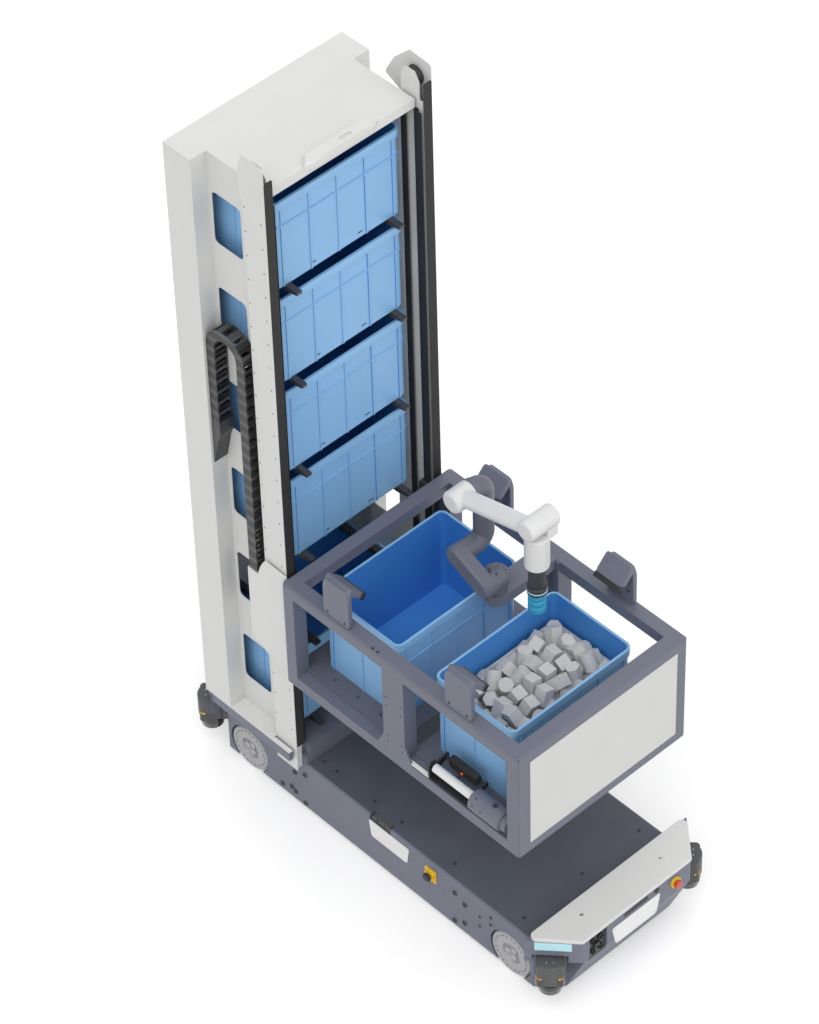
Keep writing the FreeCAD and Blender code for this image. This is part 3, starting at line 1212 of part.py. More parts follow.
# ---------------------------------------------------------------- pick arm
beam = Solid("arm_pedestal")
beam_low = "beam_up"
beam_high = "beam_up + beam_tall"
beam.pad("xy", [("circle", "arm_x", "arm_y", "beam_half")], beam_low, beam_high)
beam.pad("xy", [rect("arm_x - beam_half", "arm_x + beam_half", "arm_y", "frame_half_y - post")], beam_low, beam_high)
beam.dress("Chamfer", "12", lambda d, c, e: near(c.z, beam_low) and c.y < num("frame_half_y - post - 5"))
beam.pad("xz", [rect("mid_x", "mid_x + mid_len", "beam_up - 150", "frame_tall - 2")],
         "frame_half_y - post - 8", "frame_half_y - post")
brace = [("frame_half_y - post - 4", "beam_up - 110"), ("frame_half_y - post - 4", "beam_up + 2"),
         ("frame_half_y - post - 120", "beam_up + 2")]
beam.pad("yz", [brace], "arm_x - 18", "arm_x + 18")
keep(beam.body, "arm_pedestal", carriage)

turret = Solid("arm_turret")
turret.turn("Revolution", "xz", [[("0", "side_gap"), ("turn_rad - 4", "side_gap"), ("turn_rad - 4", "turn_tall - 12"),
                                  ("turn_rad", "turn_tall - 12"), ("turn_rad", "turn_tall"), ("0", "turn_tall")]])
turret.pad("xz", [("circle", "lift_dx", "lift_up", "link_rad")], "-(link_in - side_gap)", "14")
bolt = turret.pocket("xy", [("circle", "(turn_rad - 10) / 2", "(turn_rad - 10) * sin(60)", "3.2")],
                     "turn_tall - 3", "turn_tall + 1")
turret.around(bolt, "Z", 3, "60")
keep(turret.body, "arm_turret", ("datum_x + arm_x", "arm_y", "turn_z"))

link = Solid("arm_link")
reach = "hypot(link_dx; link_dz)"
link.pad("xz", [("circle", "0", "0", "link_rad + 2")], "-(link_out)", "-link_in")
link.pad("xz", [("circle", reach, "0", "link_rad + 2")], "-(link_out)", "-link_in")
link.pad("xz", [rect("0", reach, "-(link_rad + 2)", "link_rad + 2")], "-(link_out)", "-link_in")
link.dress("Chamfer", "9", lambda d, c, e: near(c.y, "-(link_out)"))
link_hole = link.pocket("xz", [("circle", "4", "0", "3"), ("circle", reach + " / 2", "0", "3"),
                               ("circle", reach + " - 4", "0", "3")], "-(link_out) - 1", "-(link_out) + 3")
keep(link.body, "arm_link", ("datum_x + pivot_x", "arm_y", "pivot_z"), ((0, -1, 0), "atan2(link_dz; link_dx)"))

# the upper arm: one tube bent twice, from the elbow barrel up to the top barrel
upper = Solid("arm_upper")
start_y = "-(link_in - side_gap)"
run = upper.body.newObject("Sketcher::SketchObject", "arm_upper_path")
plane = [f for f in upper.body.Origin.OriginFeatures if f.Role == "YZ_Plane"][0]
run.AttachmentSupport = (plane, [""])
run.MapMode = "FlatFace"
bend = num("tube_bend")
ty = num("tube_dy")
up = num("tube_up")
y_low = num(start_y)
y_top = num("-fore_in + side_gap")
normal = Vector(0, 0, 1)
run.addGeometry(Part.LineSegment(Vector(y_low, 0, 0), Vector(ty - bend, 0, 0)), False)
lower_arc = Part.Circle(Vector(ty - bend, bend, 0), normal, bend)
run.addGeometry(Part.ArcOfCircle(lower_arc, -math.pi / 2, 0), False)
run.addGeometry(Part.LineSegment(Vector(ty, bend, 0), Vector(ty, up - bend, 0)), False)
upper_arc = Part.Circle(Vector(ty - bend, up - bend, 0), normal, bend)
run.addGeometry(Part.ArcOfCircle(upper_arc, 0, math.pi / 2), False)
run.addGeometry(Part.LineSegment(Vector(ty - bend, up, 0), Vector(y_top, up, 0)), False)
for a, sa, b, sb in ((0, 2, 1, 1), (1, 2, 2, 1), (2, 2, 3, 1), (3, 2, 4, 1)):
    run.addConstraint(Sketcher.Constraint("Tangent", a, sa, b, sb))
run.addConstraint(Sketcher.Constraint("Horizontal", 0))
run.addConstraint(Sketcher.Constraint("Vertical", 2))
run.addConstraint(Sketcher.Constraint("Horizontal", 4))
run.addConstraint(Sketcher.Constraint("Equal", 1, 3))
radius_index = run.addConstraint(Sketcher.Constraint("Radius", 1, bend))
bind(run, "Constraints[%d]" % radius_index, "tube_bend")
dimension(run, "DistanceX", 0, 1, start_y)
dimension(run, "DistanceY", 0, 1, "0")
dimension(run, "DistanceX", 2, 1, "tube_dy")
dimension(run, "DistanceY", 4, 1, "tube_up")
dimension(run, "DistanceX", 4, 2, "-fore_in + side_gap")
ring = upper.sketch("xz", [("circle", "0", "0", "tube_rad")], start_y)
pipe = upper.feature("AdditivePipe")
pipe.Profile = ring
pipe.Spine = (run, ["Edge%d" % k for k in range(1, 6)])
upper.done(pipe, 1)
upper.pad("xz", [("circle", "0", "tube_up", "fore_rad - 2")], "-fore_in + side_gap", "-fore_in + 22")
keep(upper.body, "arm_upper", ("datum_x + elbow_x", "arm_y", "elbow_z"))

# forearm: head at the top pivot, a sloping tube, and the wrist's fixed half
span = "hypot(fore_dx; fore_dz)"
fore_low = "-(fore_in + fore_w)"
fore_head = soften(rod("y", ("0", "0"), "fore_rad", fore_low, "-fore_in"), "14",
                   lambda d, c, e: near(c.y, fore_low))
near_low = "-(wrist_seam + wrist_near)"
near_half = soften(rod("y", (span, "0"), "wrist_rad", near_low, "-wrist_seam"), "9",
                   lambda d, c, e: near(c.y, near_low))
fore_rod = rod("x", ("-(fore_in + fore_tube + 1)", "0"), "fore_tube", "0", span)
keep(fuse(fore_head, near_half, fore_rod), "arm_forearm", ("datum_x + elbow_x", "arm_y", "top_z"),
     ((0, -1, 0), "atan2(fore_dz; fore_dx)"))

# wrist: the turning half of the barrel and the housing that holds the tool
wrist = Solid("arm_wrist")
can_low = "-(can_top + can_len)"
wrist.pad("xy", [("circle", "0", "can_dy", "can_rad")], can_low, "-(can_top)")
wrist.dress("Fillet", "6", lambda d, c, e: near(c.z, "-(can_top)"))
wrist.dress("Fillet", "4", lambda d, c, e: near(c.z, can_low))
wrist.pad("xz", [("circle", "0", "0", "wrist_rad")], "-wrist_seam + side_gap", "-wrist_seam + wrist_w")
wrist.dress("Fillet", "9", lambda d, c, e: near(c.y, "-wrist_seam + wrist_w"))
wrist.pad("xz", [rect("-wrist_rad + 6", "wrist_rad - 6", "-(can_top + 16)", "-8")], "-wrist_seam + 3", "-wrist_seam + wrist_w - 12")
keep(wrist.body, "arm_wrist", ("datum_x + wrist_x", "arm_y", "wrist_z"))

tool_spot = ("datum_x + wrist_x", "arm_y + can_dy", "wrist_z - (can_top + can_len)")
tool = Solid("arm_tool")
tool.turn("Revolution", "xz", [[("0", "-side_gap"), ("neck_rad", "-side_gap"), ("neck_rad", "-neck_len"),
                                ("ring_rad - 2", "-neck_len"), ("ring_rad", "-neck_len - 2"),
                                ("ring_rad", "-neck_len - ring_len + 3"), ("ring_rad - 3", "-neck_len - ring_len"),
                                ("0", "-neck_len - ring_len")]])
keep(tool.body, "arm_tool", tool_spot)

cup = Solid("suction_cup")
top_c = "-neck_len - ring_len"
wall = [("0", top_c), ("cup_rad - 6", top_c), ("cup_rad", top_c + " - 10"), ("cup_rad", top_c + " - 22"),
        ("cup_rad - 5", top_c + " - 30"), ("cup_rad", top_c + " - 38"), ("cup_rad", top_c + " - 50"),
        ("cup_rad - 5", top_c + " - 58"), ("cup_rad", top_c + " - 66"), ("cup_rad", top_c + " - cup_len"),
        ("cup_rad - 4", top_c + " - cup_len"), ("cup_rad - 8", top_c + " - cup_len + 14"),
        ("cup_rad - 12", top_c + " - 16"), ("0", top_c + " - 16")]
cup.turn("Revolution", "xz", [wall])
keep(cup.body, "suction_cup", tool_spot)

# ---------------------------------------------------------------- finish
doc.recompute()
for item in doc.Objects:
    if "Invalid" in item.State or "Error" in item.State:
        raise RuntimeError("failed: " + item.Name)
os.makedirs("parts", exist_ok=True)
for item in PARTS:
    shape = item.Shape
    if shape.isNull() or not shape.isValid():
        raise RuntimeError("bad shape: " + item.Label)
    shape.exportStep(os.path.join("parts", item.Label + ".step"))
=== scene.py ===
"""Looks of a tote-carrying mobile robot: finishes, fasteners, trims and a studio stage."""
import json
import math
import random

import bmesh
import bpy
from mathutils import Matrix, Vector

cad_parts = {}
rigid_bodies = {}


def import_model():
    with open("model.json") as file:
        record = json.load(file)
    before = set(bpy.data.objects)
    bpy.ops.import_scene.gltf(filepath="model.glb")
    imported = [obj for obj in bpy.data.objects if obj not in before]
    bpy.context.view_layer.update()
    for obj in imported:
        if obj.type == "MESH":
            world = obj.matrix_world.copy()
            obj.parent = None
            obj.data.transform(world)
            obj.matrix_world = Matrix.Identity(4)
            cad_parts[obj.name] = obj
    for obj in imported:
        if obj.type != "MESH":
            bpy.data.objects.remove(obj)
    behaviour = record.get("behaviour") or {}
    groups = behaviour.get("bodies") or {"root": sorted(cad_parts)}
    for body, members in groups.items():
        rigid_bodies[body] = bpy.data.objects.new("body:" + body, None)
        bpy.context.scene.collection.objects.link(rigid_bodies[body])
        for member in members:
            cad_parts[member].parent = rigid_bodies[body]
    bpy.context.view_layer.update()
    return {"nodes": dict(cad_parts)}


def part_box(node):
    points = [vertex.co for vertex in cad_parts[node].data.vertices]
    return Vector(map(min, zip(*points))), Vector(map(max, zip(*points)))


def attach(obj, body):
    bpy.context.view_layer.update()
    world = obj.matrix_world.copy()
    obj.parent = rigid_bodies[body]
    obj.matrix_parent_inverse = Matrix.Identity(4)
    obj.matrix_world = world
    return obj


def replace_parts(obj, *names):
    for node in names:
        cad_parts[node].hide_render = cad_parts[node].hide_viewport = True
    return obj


bl_info = {
    "name": "Tote robot dressing",
    "version": (1, 0, 0),
    "blender": (4, 5, 0),
    "location": "View3D > Sidebar > Robot",
    "description": "Adds finishes, fasteners, trims and a studio to the tote robot frame",
    "category": "Object",
}

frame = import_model()
MM = 0.001
# lengths along X are counted from the mast datum, which lies this far behind the hull's front end
HULL_AHEAD = 1.188
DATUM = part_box("base_hull")[1].x - HULL_AHEAD
MID_Y = (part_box("base_hull")[0].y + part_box("base_hull")[1].y) / 2
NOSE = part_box("front_head")[1].x
CARRIAGE_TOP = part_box("carriage_frame")[1].z
TOTES = [name for name in frame["nodes"] if "tote_" in name and name != "tote_goods"]
SCANNERS = ("scanner_front_left", "scanner_front_right", "scanner_rear_left", "scanner_rear_right")
WHEELS = {"wheel_front_left": "wheel_fl", "wheel_front_right": "wheel_fr",
          "wheel_rear_left": "wheel_rl", "wheel_rear_right": "wheel_rr"}
BRACKET_LENGTH = 0.133
# softened edge in every finish, seed of the goods' random draws, and the floor's own light
EDGE_ROUNDING = 0.0012
GOODS_SEED = 7
FLOOR_GLOW = 0.30
# the camera's focal length in image widths, its turn, rise and roll in degrees, and its place for spot()
FOCAL = 5.4522
VIEW_ANGLES = (47.726, 44.985, -1.826)
VIEW_PLACE = (8444, -7562, 12754)


def spot(x, y, z):
    """Point in metres from millimetres ahead of the mast datum and left of the wheels' centre line."""
    return Vector((x * MM + DATUM, y * MM + MID_Y, z * MM))


def on_nose(y, z, depth=0.0):
    """Point in metres on the front head's face, from millimetres across and up, and metres into it."""
    return Vector((NOSE - depth, y * MM + MID_Y, z * MM))


def rectangle(x0, x1, y0, y1):
    """Corners of a rectangle in two coordinates."""
    return (x0, y0), (x1, y0), (x1, y1), (x0, y1)


# ---------------------------------------------------------------- finishes
def wire(tree, kind, **inputs):
    """New node with its input sockets set to values or linked to sockets."""
    node = tree.nodes.new(kind)
    for name, value in inputs.items():
        key = int(name[1:]) if name[0] == "i" and name[1:].isdigit() else name.replace("_", " ")
        if isinstance(value, bpy.types.NodeSocket):
            tree.links.new(value, node.inputs[key])
        else:
            node.inputs[key].default_value = value
    return node


def sums(tree, operation, a, b=0.0):
    """Result of one operation on two values or sockets."""
    node = wire(tree, "ShaderNodeMath", i0=a, i1=b)
    node.operation = operation
    return node.outputs[0]


def blended(tree, amount, first, second):
    """Colour mix of two colours or sockets."""
    node = tree.nodes.new("ShaderNodeMix")
    node.data_type = "RGBA"
    for socket, value in ((node.inputs[0], amount), (node.inputs[6], first), (node.inputs[7], second)):
        if isinstance(value, bpy.types.NodeSocket):
            tree.links.new(value, socket)
        else:
            socket.default_value = value
    return node.outputs[2]


def surface(name, colour, rough, metal=0.0, mottle=0.05, grain=900.0, bump=0.06, edge_wear_and_highlight=0.35, coat=0.0,
            glow=0.0, extra=None):
    """Material with cloudy colour, fine grain in the relief, patchy lighter sharp edges that are partly
    scuffed wear and partly painted highlight, and patchy gloss.
    """
    mat = bpy.data.materials.new(name)
    mat.use_nodes = True
    tree = mat.node_tree
    shader = tree.nodes["Principled BSDF"]
    place = tree.nodes.new("ShaderNodeTexCoord").outputs["Object"]
    clouds = wire(tree, "ShaderNodeTexNoise", Vector=place, Scale=7.0, Detail=4.0).outputs["Fac"]
    fine = wire(tree, "ShaderNodeTexNoise", Vector=place, Scale=grain, Detail=2.0).outputs["Fac"]
    dark = tuple(c * (1 - mottle) for c in colour) + (1.0,)
    light = tuple(min(1.0, c * (1 + mottle)) for c in colour) + (1.0,)
    shade = blended(tree, clouds, dark, light)
    # sharp edges take a lighter copy of the colour, in patches: partly edge wear, partly painted highlight
    # where rounded edges catch the light
    edge = tree.nodes.new("ShaderNodeNewGeometry").outputs["Pointiness"]
    edge_wear_highlight_mask = tree.nodes.new("ShaderNodeMapRange")
    tree.links.new(edge, edge_wear_highlight_mask.inputs["Value"])
    edge_wear_highlight_mask.inputs["From Min"].default_value = 0.53
    edge_wear_highlight_mask.inputs["From Max"].default_value = 0.62
    edge_wear_highlight_mask.inputs["To Max"].default_value = edge_wear_and_highlight
    worn_and_lit_edge_colour = tuple(min(1.0, c * 1.5 + 0.03) for c in colour) + (1.0,)
    shade = blended(tree, sums(tree, "MULTIPLY", edge_wear_highlight_mask.outputs[0], clouds), shade, worn_and_lit_edge_colour)
    height = fine
    if extra:
        shade, height = extra(tree, place, shade, fine)
    tree.links.new(shade, shader.inputs["Base Color"])
    spread = wire(tree, "ShaderNodeMapRange", Value=clouds)
    spread.inputs["To Min"].default_value = max(0.02, rough - 0.07)
    spread.inputs["To Max"].default_value = min(1.0, rough + 0.07)
    tree.links.new(spread.outputs[0], shader.inputs["Roughness"])
    shader.inputs["Metallic"].default_value = metal
    shader.inputs["Coat Weight"].default_value = coat
    relief = wire(tree, "ShaderNodeBump", Height=height, Strength=bump)
    relief.inputs["Distance"].default_value = 0.0006
    soft = wire(tree, "ShaderNodeBevel", Radius=EDGE_ROUNDING)
    soft.samples = 4
    tree.links.new(soft.outputs[0], relief.inputs["Normal"])
    tree.links.new(relief.outputs[0], shader.inputs["Normal"])
    if glow:
        tree.links.new(shade, shader.inputs["Emission Color"])
        shader.inputs["Emission Strength"].default_value = glow
    return mat


def cell(tree, value, pitch):
    """Distance from the middle of a repeating cell, in cells."""
    along = sums(tree, "FRACT", sums(tree, "DIVIDE", value, pitch))
    return sums(tree, "ABSOLUTE", sums(tree, "SUBTRACT", along, 0.5))


def links(tree, place, shade, height):
    """Crossbars and side plates of an energy chain."""
    split = wire(tree, "ShaderNodeSeparateXYZ", Vector=place)
    bar = sums(tree, "LESS_THAN", cell(tree, split.outputs[2], 0.052), 0.17)
    notch = sums(tree, "GREATER_THAN", cell(tree, split.outputs[2], 0.052), 0.44)
    shade = blended(tree, sums(tree, "MULTIPLY", bar, 0.75), shade, (0.085, 0.085, 0.090, 1))
    shade = blended(tree, notch, shade, (0.002, 0.002, 0.002, 1))
    return shade, sums(tree, "ADD", height, sums(tree, "MULTIPLY", bar, 4.0))


def bellows(tree, place, shade, height):
    """Fine rings round a rubber cup."""
    split = wire(tree, "ShaderNodeSeparateXYZ", Vector=place)
    ring = cell(tree, split.outputs[2], 0.011)
    return blended(tree, sums(tree, "MULTIPLY", ring, 0.9), shade, (0.01, 0.16, 0.30, 1)), ring


def moulding(tree, place, shade, height):
    """Soft flow marks of a moulded box."""
    flow = wire(tree, "ShaderNodeTexNoise", Vector=place, Scale=2.2, Detail=1.0, Distortion=1.5)
    flow = flow.outputs["Fac"]
    return blended(tree, sums(tree, "MULTIPLY", flow, 0.25), shade, (0.05, 0.22, 0.58, 1)), height


FINISHES = {
    "white_coat": dict(colour=(0.665, 0.665, 0.655), rough=0.48, mottle=0.015, grain=1400, bump=0.05,
                       edge_wear_and_highlight=0.1),
    "panel_white": dict(colour=(0.62, 0.62, 0.61), rough=0.6, mottle=0.02, grain=2200, bump=0.08, edge_wear_and_highlight=0.1),
    "slate_coat": dict(colour=(0.140, 0.149, 0.196), rough=0.5, mottle=0.06, grain=1600, bump=0.10,
                       edge_wear_and_highlight=0.3),
    "deck_coat": dict(colour=(0.074, 0.082, 0.108), rough=0.62, mottle=0.10, grain=700, bump=0.25,
                      edge_wear_and_highlight=0.4),
    "tray_sheet": dict(colour=(0.115, 0.122, 0.152), rough=0.5, mottle=0.07, grain=1800, bump=0.12,
                       edge_wear_and_highlight=0.3),
    "tote_plastic": dict(colour=(0.235, 0.465, 0.760), rough=0.40, mottle=0.04, grain=1100, bump=0.05,
                         edge_wear_and_highlight=0.25),
    # darker copy of the tote plastic for the inner walls and floor: painted shade of the tote's interior,
    # with random flow marks
    "tote_inside_painted_shade": dict(colour=(0.058, 0.265, 0.680), rough=0.42, mottle=0.05, grain=1100, bump=0.05,
                        edge_wear_and_highlight=0.25, extra=moulding),
    "goods_card": dict(colour=(0.52, 0.52, 0.52), rough=0.75, mottle=0.12, grain=500, bump=0.2, edge_wear_and_highlight=0.3),
    "chain_links": dict(colour=(0.012, 0.012, 0.013), rough=0.45, mottle=0.15, grain=1300, bump=0.5,
                        extra=links),
    "black_moulding": dict(colour=(0.020, 0.020, 0.022), rough=0.5, mottle=0.12, grain=1300, bump=0.15,
                           edge_wear_and_highlight=0.5),
    "dark_steel": dict(colour=(0.055, 0.055, 0.060), rough=0.45, metal=0.3, mottle=0.10, grain=900,
                       bump=0.10),
    "rail_steel": dict(colour=(0.045, 0.045, 0.048), rough=0.35, metal=0.6, mottle=0.08, grain=1500,
                       bump=0.08),
    "bright_steel": dict(colour=(0.62, 0.62, 0.63), rough=0.28, metal=1.0, mottle=0.05, grain=1500,
                         bump=0.05),
    "wheel_cast": dict(colour=(0.42, 0.42, 0.43), rough=0.5, metal=0.15, mottle=0.07, grain=800, bump=0.15),
    "tread": dict(colour=(0.30, 0.30, 0.31), rough=0.8, mottle=0.10, grain=600, bump=0.3),
    "housing_grey": dict(colour=(0.085, 0.085, 0.088), rough=0.55, mottle=0.06, grain=1300, bump=0.15),
    "dome_smoke": dict(colour=(0.008, 0.008, 0.010), rough=0.12, mottle=0.10, bump=0.01, coat=0.6),
    "lamp_lens": dict(colour=(0.40, 0.66, 0.76), rough=0.25, mottle=0.03, grain=2500, bump=0.2, glow=0.06),
    "stop_red": dict(colour=(0.50, 0.060, 0.025), rough=0.3, mottle=0.04, bump=0.02, coat=0.3),
    "signal_yellow": dict(colour=(0.78, 0.48, 0.03), rough=0.4, mottle=0.04, bump=0.05),
    "marker_orange": dict(colour=(0.75, 0.16, 0.02), rough=0.4, mottle=0.04, bump=0.05),
    "arm_white": dict(colour=(0.70, 0.70, 0.695), rough=0.35, mottle=0.015, grain=1600, bump=0.03,
                      edge_wear_and_highlight=0.05),
    "arm_slate": dict(colour=(0.130, 0.138, 0.178), rough=0.45, mottle=0.06, grain=1100, bump=0.12,
                      edge_wear_and_highlight=0.25),
    "cup_rubber": dict(colour=(0.028, 0.330, 0.555), rough=0.5, mottle=0.06, bump=0.3, extra=bellows),
    "belt_black": dict(colour=(0.012, 0.012, 0.013), rough=0.7, mottle=0.15, grain=900, bump=0.3),
    "plate_white": dict(colour=(0.80, 0.80, 0.80), rough=0.4, mottle=0.015, grain=2200, bump=0.03,
                        edge_wear_and_highlight=0.05),
    "roller_white": dict(colour=(0.72, 0.72, 0.71), rough=0.4, mottle=0.03, grain=1500, bump=0.05),
}
MATERIALS = {}

# finish of each solid of the frame, and which of its faces take another one
NODE_FINISH = {
    "slate_coat": ("base_hull front_head rear_head rear_module carriage_frame sensor_brackets arm_pedestal "
                   "transfer_unit"),
    "deck_coat": "deck_plate", "tray_sheet": "carriage_floor",
    "white_coat": ("front_cover mast_rear_cover mast_panel_left mast_panel_right mast_column_left "
                   "mast_column_right mast_top side_cover"),
    "panel_white": "front_panel", "lamp_lens": "light_strips",
    "signal_yellow": "stop_collar_front stop_collar_side",
    "stop_red": "stop_button_front", "black_moulding": "stop_button_side transfer_arms",
    "chain_links": "chain_fixed_run chain_loop chain_moving_run",
    "wheel_cast": "wheel_front_left wheel_front_right wheel_rear_left wheel_rear_right",
    "dark_steel": ("rack_support_left rack_support_right guide_blocks chain_foot_bracket arm_tool "
                   "belt_pulley_left belt_pulley_right"),
    "rail_steel": "lift_rails",
    "tote_plastic": "rack_tote_1 rack_tote_2 rack_tote_3 rack_tote_4 rack_tote_6 tote_rear tote_front",
    "goods_card": "tote_goods", "roller_white": "transfer_roller",
    "housing_grey": "side_camera scanner_front_left scanner_front_right scanner_rear_left scanner_rear_right",
    "arm_slate": "arm_turret arm_link arm_upper", "arm_white": "arm_forearm arm_wrist",
    "cup_rubber": "suction_cup",
}


def use(obj, finish):
    """Give an object one finish."""
    obj.data.materials.clear()
    obj.data.materials.append(MATERIALS[finish])


def repaint(node, finish, test):
    """Give another finish to the faces of a solid that pass a test of middle and direction."""
    mesh = frame["nodes"][node].data
    if MATERIALS[finish].name not in mesh.materials:
        mesh.materials.append(MATERIALS[finish])
    index = list(mesh.materials).index(MATERIALS[finish])
    for face in mesh.polygons:
        if test(face.center, face.normal):
            face.material_index = index


def touch(node, start, way):
    """Where a line from a start along a direction first meets a solid, and the surface's direction there."""
    hit, place, normal, _ = frame["nodes"][node].ray_cast(Vector(start), Vector(way).normalized())
    if not hit:
        raise RuntimeError("no surface of %s on that line" % node)
    return place, normal


# ---------------------------------------------------------------- forms
class Form:
    """A mesh that gathers many small forms, and becomes one piece."""

    def __init__(self, name, finish, body, slot):
        self.name, self.finish, self.body, self.slot = name, finish, body, slot
        self.bm = bmesh.new()

    def turned(self, profile, centre, axis, segments=28):
        """Revolve (radius, height) pairs about an axis through a centre."""
        axis = Vector(axis).normalized()
        side = axis.orthogonal().normalized()
        other = axis.cross(side)
        rings = []
        for radius, height in profile:
            base = Vector(centre) + axis * height
            if radius < 1e-6:
                rings.append([self.bm.verts.new(base)])
                continue
            ring = []
            for k in range(segments):
                turn = 2 * math.pi * k / segments
                point = base + side * (radius * math.cos(turn)) + other * (radius * math.sin(turn))
                ring.append(self.bm.verts.new(point))
            rings.append(ring)
        for low, high in zip(rings, rings[1:]):
            for k in range(segments):
                n = (k + 1) % segments
                corners = []
                for v in (low[k % len(low)], low[n % len(low)], high[n % len(high)], high[k % len(high)]):
                    if v not in corners:
                        corners.append(v)
                if len(corners) > 2:
                    self.bm.faces.new(corners)

    def screw(self, centre, axis, radius, height=None, seat=0.0):
        """Round head with a socket."""
        tall = height or radius * 0.5
        self.turned([(radius, -seat), (radius, tall * 0.7), (radius * 0.88, tall), (radius * 0.50, tall),
                     (radius * 0.46, tall * 0.25), (0, tall * 0.25)], centre, axis, 18)

    def slab(self, outline, along, thick, corner=0.0, steps=5):
        """Prism over an outline of points, with rounded corners, thickened along a direction."""
        points = [Vector(p) for p in outline]
        if corner:
            soft = []
            for k, p in enumerate(points):
                a, b = (points[k - 1] - p), (points[(k + 1) % len(points)] - p)
                r = min(corner, a.length * 0.45, b.length * 0.45)
                start, end = p + a.normalized() * r, p + b.normalized() * r
                for s in range(steps + 1):
                    t = s / steps
                    soft.append(start * (1 - t) ** 2 + p * 2 * t * (1 - t) + end * t ** 2)
            points = soft
        along = Vector(along).normalized() * thick
        low = [self.bm.verts.new(p) for p in points]
        high = [self.bm.verts.new(p + along) for p in points]
        self.bm.faces.new(low[::-1])
        self.bm.faces.new(high)
        for k in range(len(points)):
            n = (k + 1) % len(points)
            self.bm.faces.new((low[k], low[n], high[n], high[k]))

    def block(self, low, high, corner=0.0):
        """Slab with a level outline between two corners."""
        a, b = Vector(low), Vector(high)
        outline = [(x, y, a.z) for x, y in rectangle(a.x, b.x, a.y, b.y)]
        self.slab(outline, (0, 0, 1), b.z - a.z, corner)

    def piece(self, bevel=0.0006, smooth=35):
        """Finish the mesh, with softened edges, and let it ride on its body."""
        bmesh.ops.recalc_face_normals(self.bm, faces=self.bm.faces)
        mesh = bpy.data.meshes.new(self.name)
        self.bm.to_mesh(mesh)
        self.bm.free()
        obj = bpy.data.objects.new(self.name, mesh)
        bpy.context.scene.collection.objects.link(obj)
        for face in mesh.polygons:
            face.use_smooth = True
        mesh.set_sharp_from_angle(angle=math.radians(smooth))
        if bevel:
            edge = obj.modifiers.new("soft_edges", "BEVEL")
            edge.width = bevel
            edge.segments = 2
            edge.limit_method = "ANGLE"
            edge.angle_limit = math.radians(40)
            edge.harden_normals = True
        use(obj, self.finish)
        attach(obj, self.body)
        return obj


# ---------------------------------------------------------------- settings
class DressSettings(bpy.types.PropertyGroup):
    """Sizes and colours of the fasteners, trims and stage."""
    deck_screw: bpy.props.FloatProperty(name="Deck screw", description="Radius of the deck screws",
                                        default=0.0065, unit="LENGTH")
    side_bolt: bpy.props.FloatProperty(name="Side bolt", description="Radius of the hull's side bolts",
                                       default=0.0115, unit="LENGTH")
    hole_pitch: bpy.props.FloatProperty(name="Hole pitch", default=0.10825, unit="LENGTH",
                                        description="Pitch of the small holes along the columns")
    rim_dots: bpy.props.IntProperty(name="Rim dots", description="Dots round each wheel's rim", default=24)
    floor_colour: bpy.props.FloatVectorProperty(name="Floor", description="Colour of the studio floor",
                                                subtype="COLOR", size=3, default=(0.80, 0.80, 0.80))
    key_strength: bpy.props.FloatProperty(name="Key light", default=1.25,
                                          description="Strength of the main soft lamp")
    fill_strength: bpy.props.FloatProperty(name="Fill light", default=0.62,
                                           description="Strength of the room's light")


def settings():
    """Values that the sidebar shows."""
    return bpy.context.scene.robot_dress


class FinishSolids(bpy.types.Operator):
    """Put a finish on every solid of the frame"""
    bl_idname = "robot.finish_solids"
    bl_label = "Finish the solids"

    def execute(self, context):
        for name, facts in FINISHES.items():
            MATERIALS[name] = surface(name, **facts)
        dressed = set()
        for finish, names in NODE_FINISH.items():
            for name in names.split():
                use(frame["nodes"][name], finish)
                dressed.add(name)
        if dressed != set(frame["nodes"]):
            raise RuntimeError("solids without a finish: %s" % sorted(set(frame["nodes"]) ^ dressed))
        for name, obj in frame["nodes"].items():
            for face in obj.data.polygons:
                face.use_smooth = True
            obj.data.set_sharp_from_angle(angle=math.radians(30))
        for name in SCANNERS:
            low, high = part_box(name)
            band = low.z + (high.z - low.z) * 0.42
            repaint(name, "dome_smoke", lambda c, n, band=band: c.z < band)
        motor = spot(861, 0, 0).x
        repaint("transfer_unit", "black_moulding", lambda c, n: c.x < motor - 0.002)
        for name in WHEELS:
            low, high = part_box(name)
            middle, outer = (low + high) / 2, (high.z - low.z) / 2
            repaint(name, "tread", lambda c, n, m=middle, r=outer:
                    abs(n.y) < 0.3 and math.hypot(c.x - m.x, c.z - m.z) > r - 0.0055)
        for name in TOTES:
            low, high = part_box(name)
            middle = (low + high) / 2
            # inner walls face the middle, and the inner floor lies just above the lowest face; both take a
            # darker copy of the tote plastic as painted shade
            repaint(name, "tote_inside_painted_shade", lambda c, n, m=middle, z=low.z:
                    abs(n.z) < 0.7 and (m - c).dot(Vector((n.x, n.y, 0))) > 0.08
                    or n.z > 0.9 and c.z < z + 0.03)
        repaint("lift_rails", "belt_black", lambda c, n: abs(n.y) > 0.9)
        return {"FINISHED"}


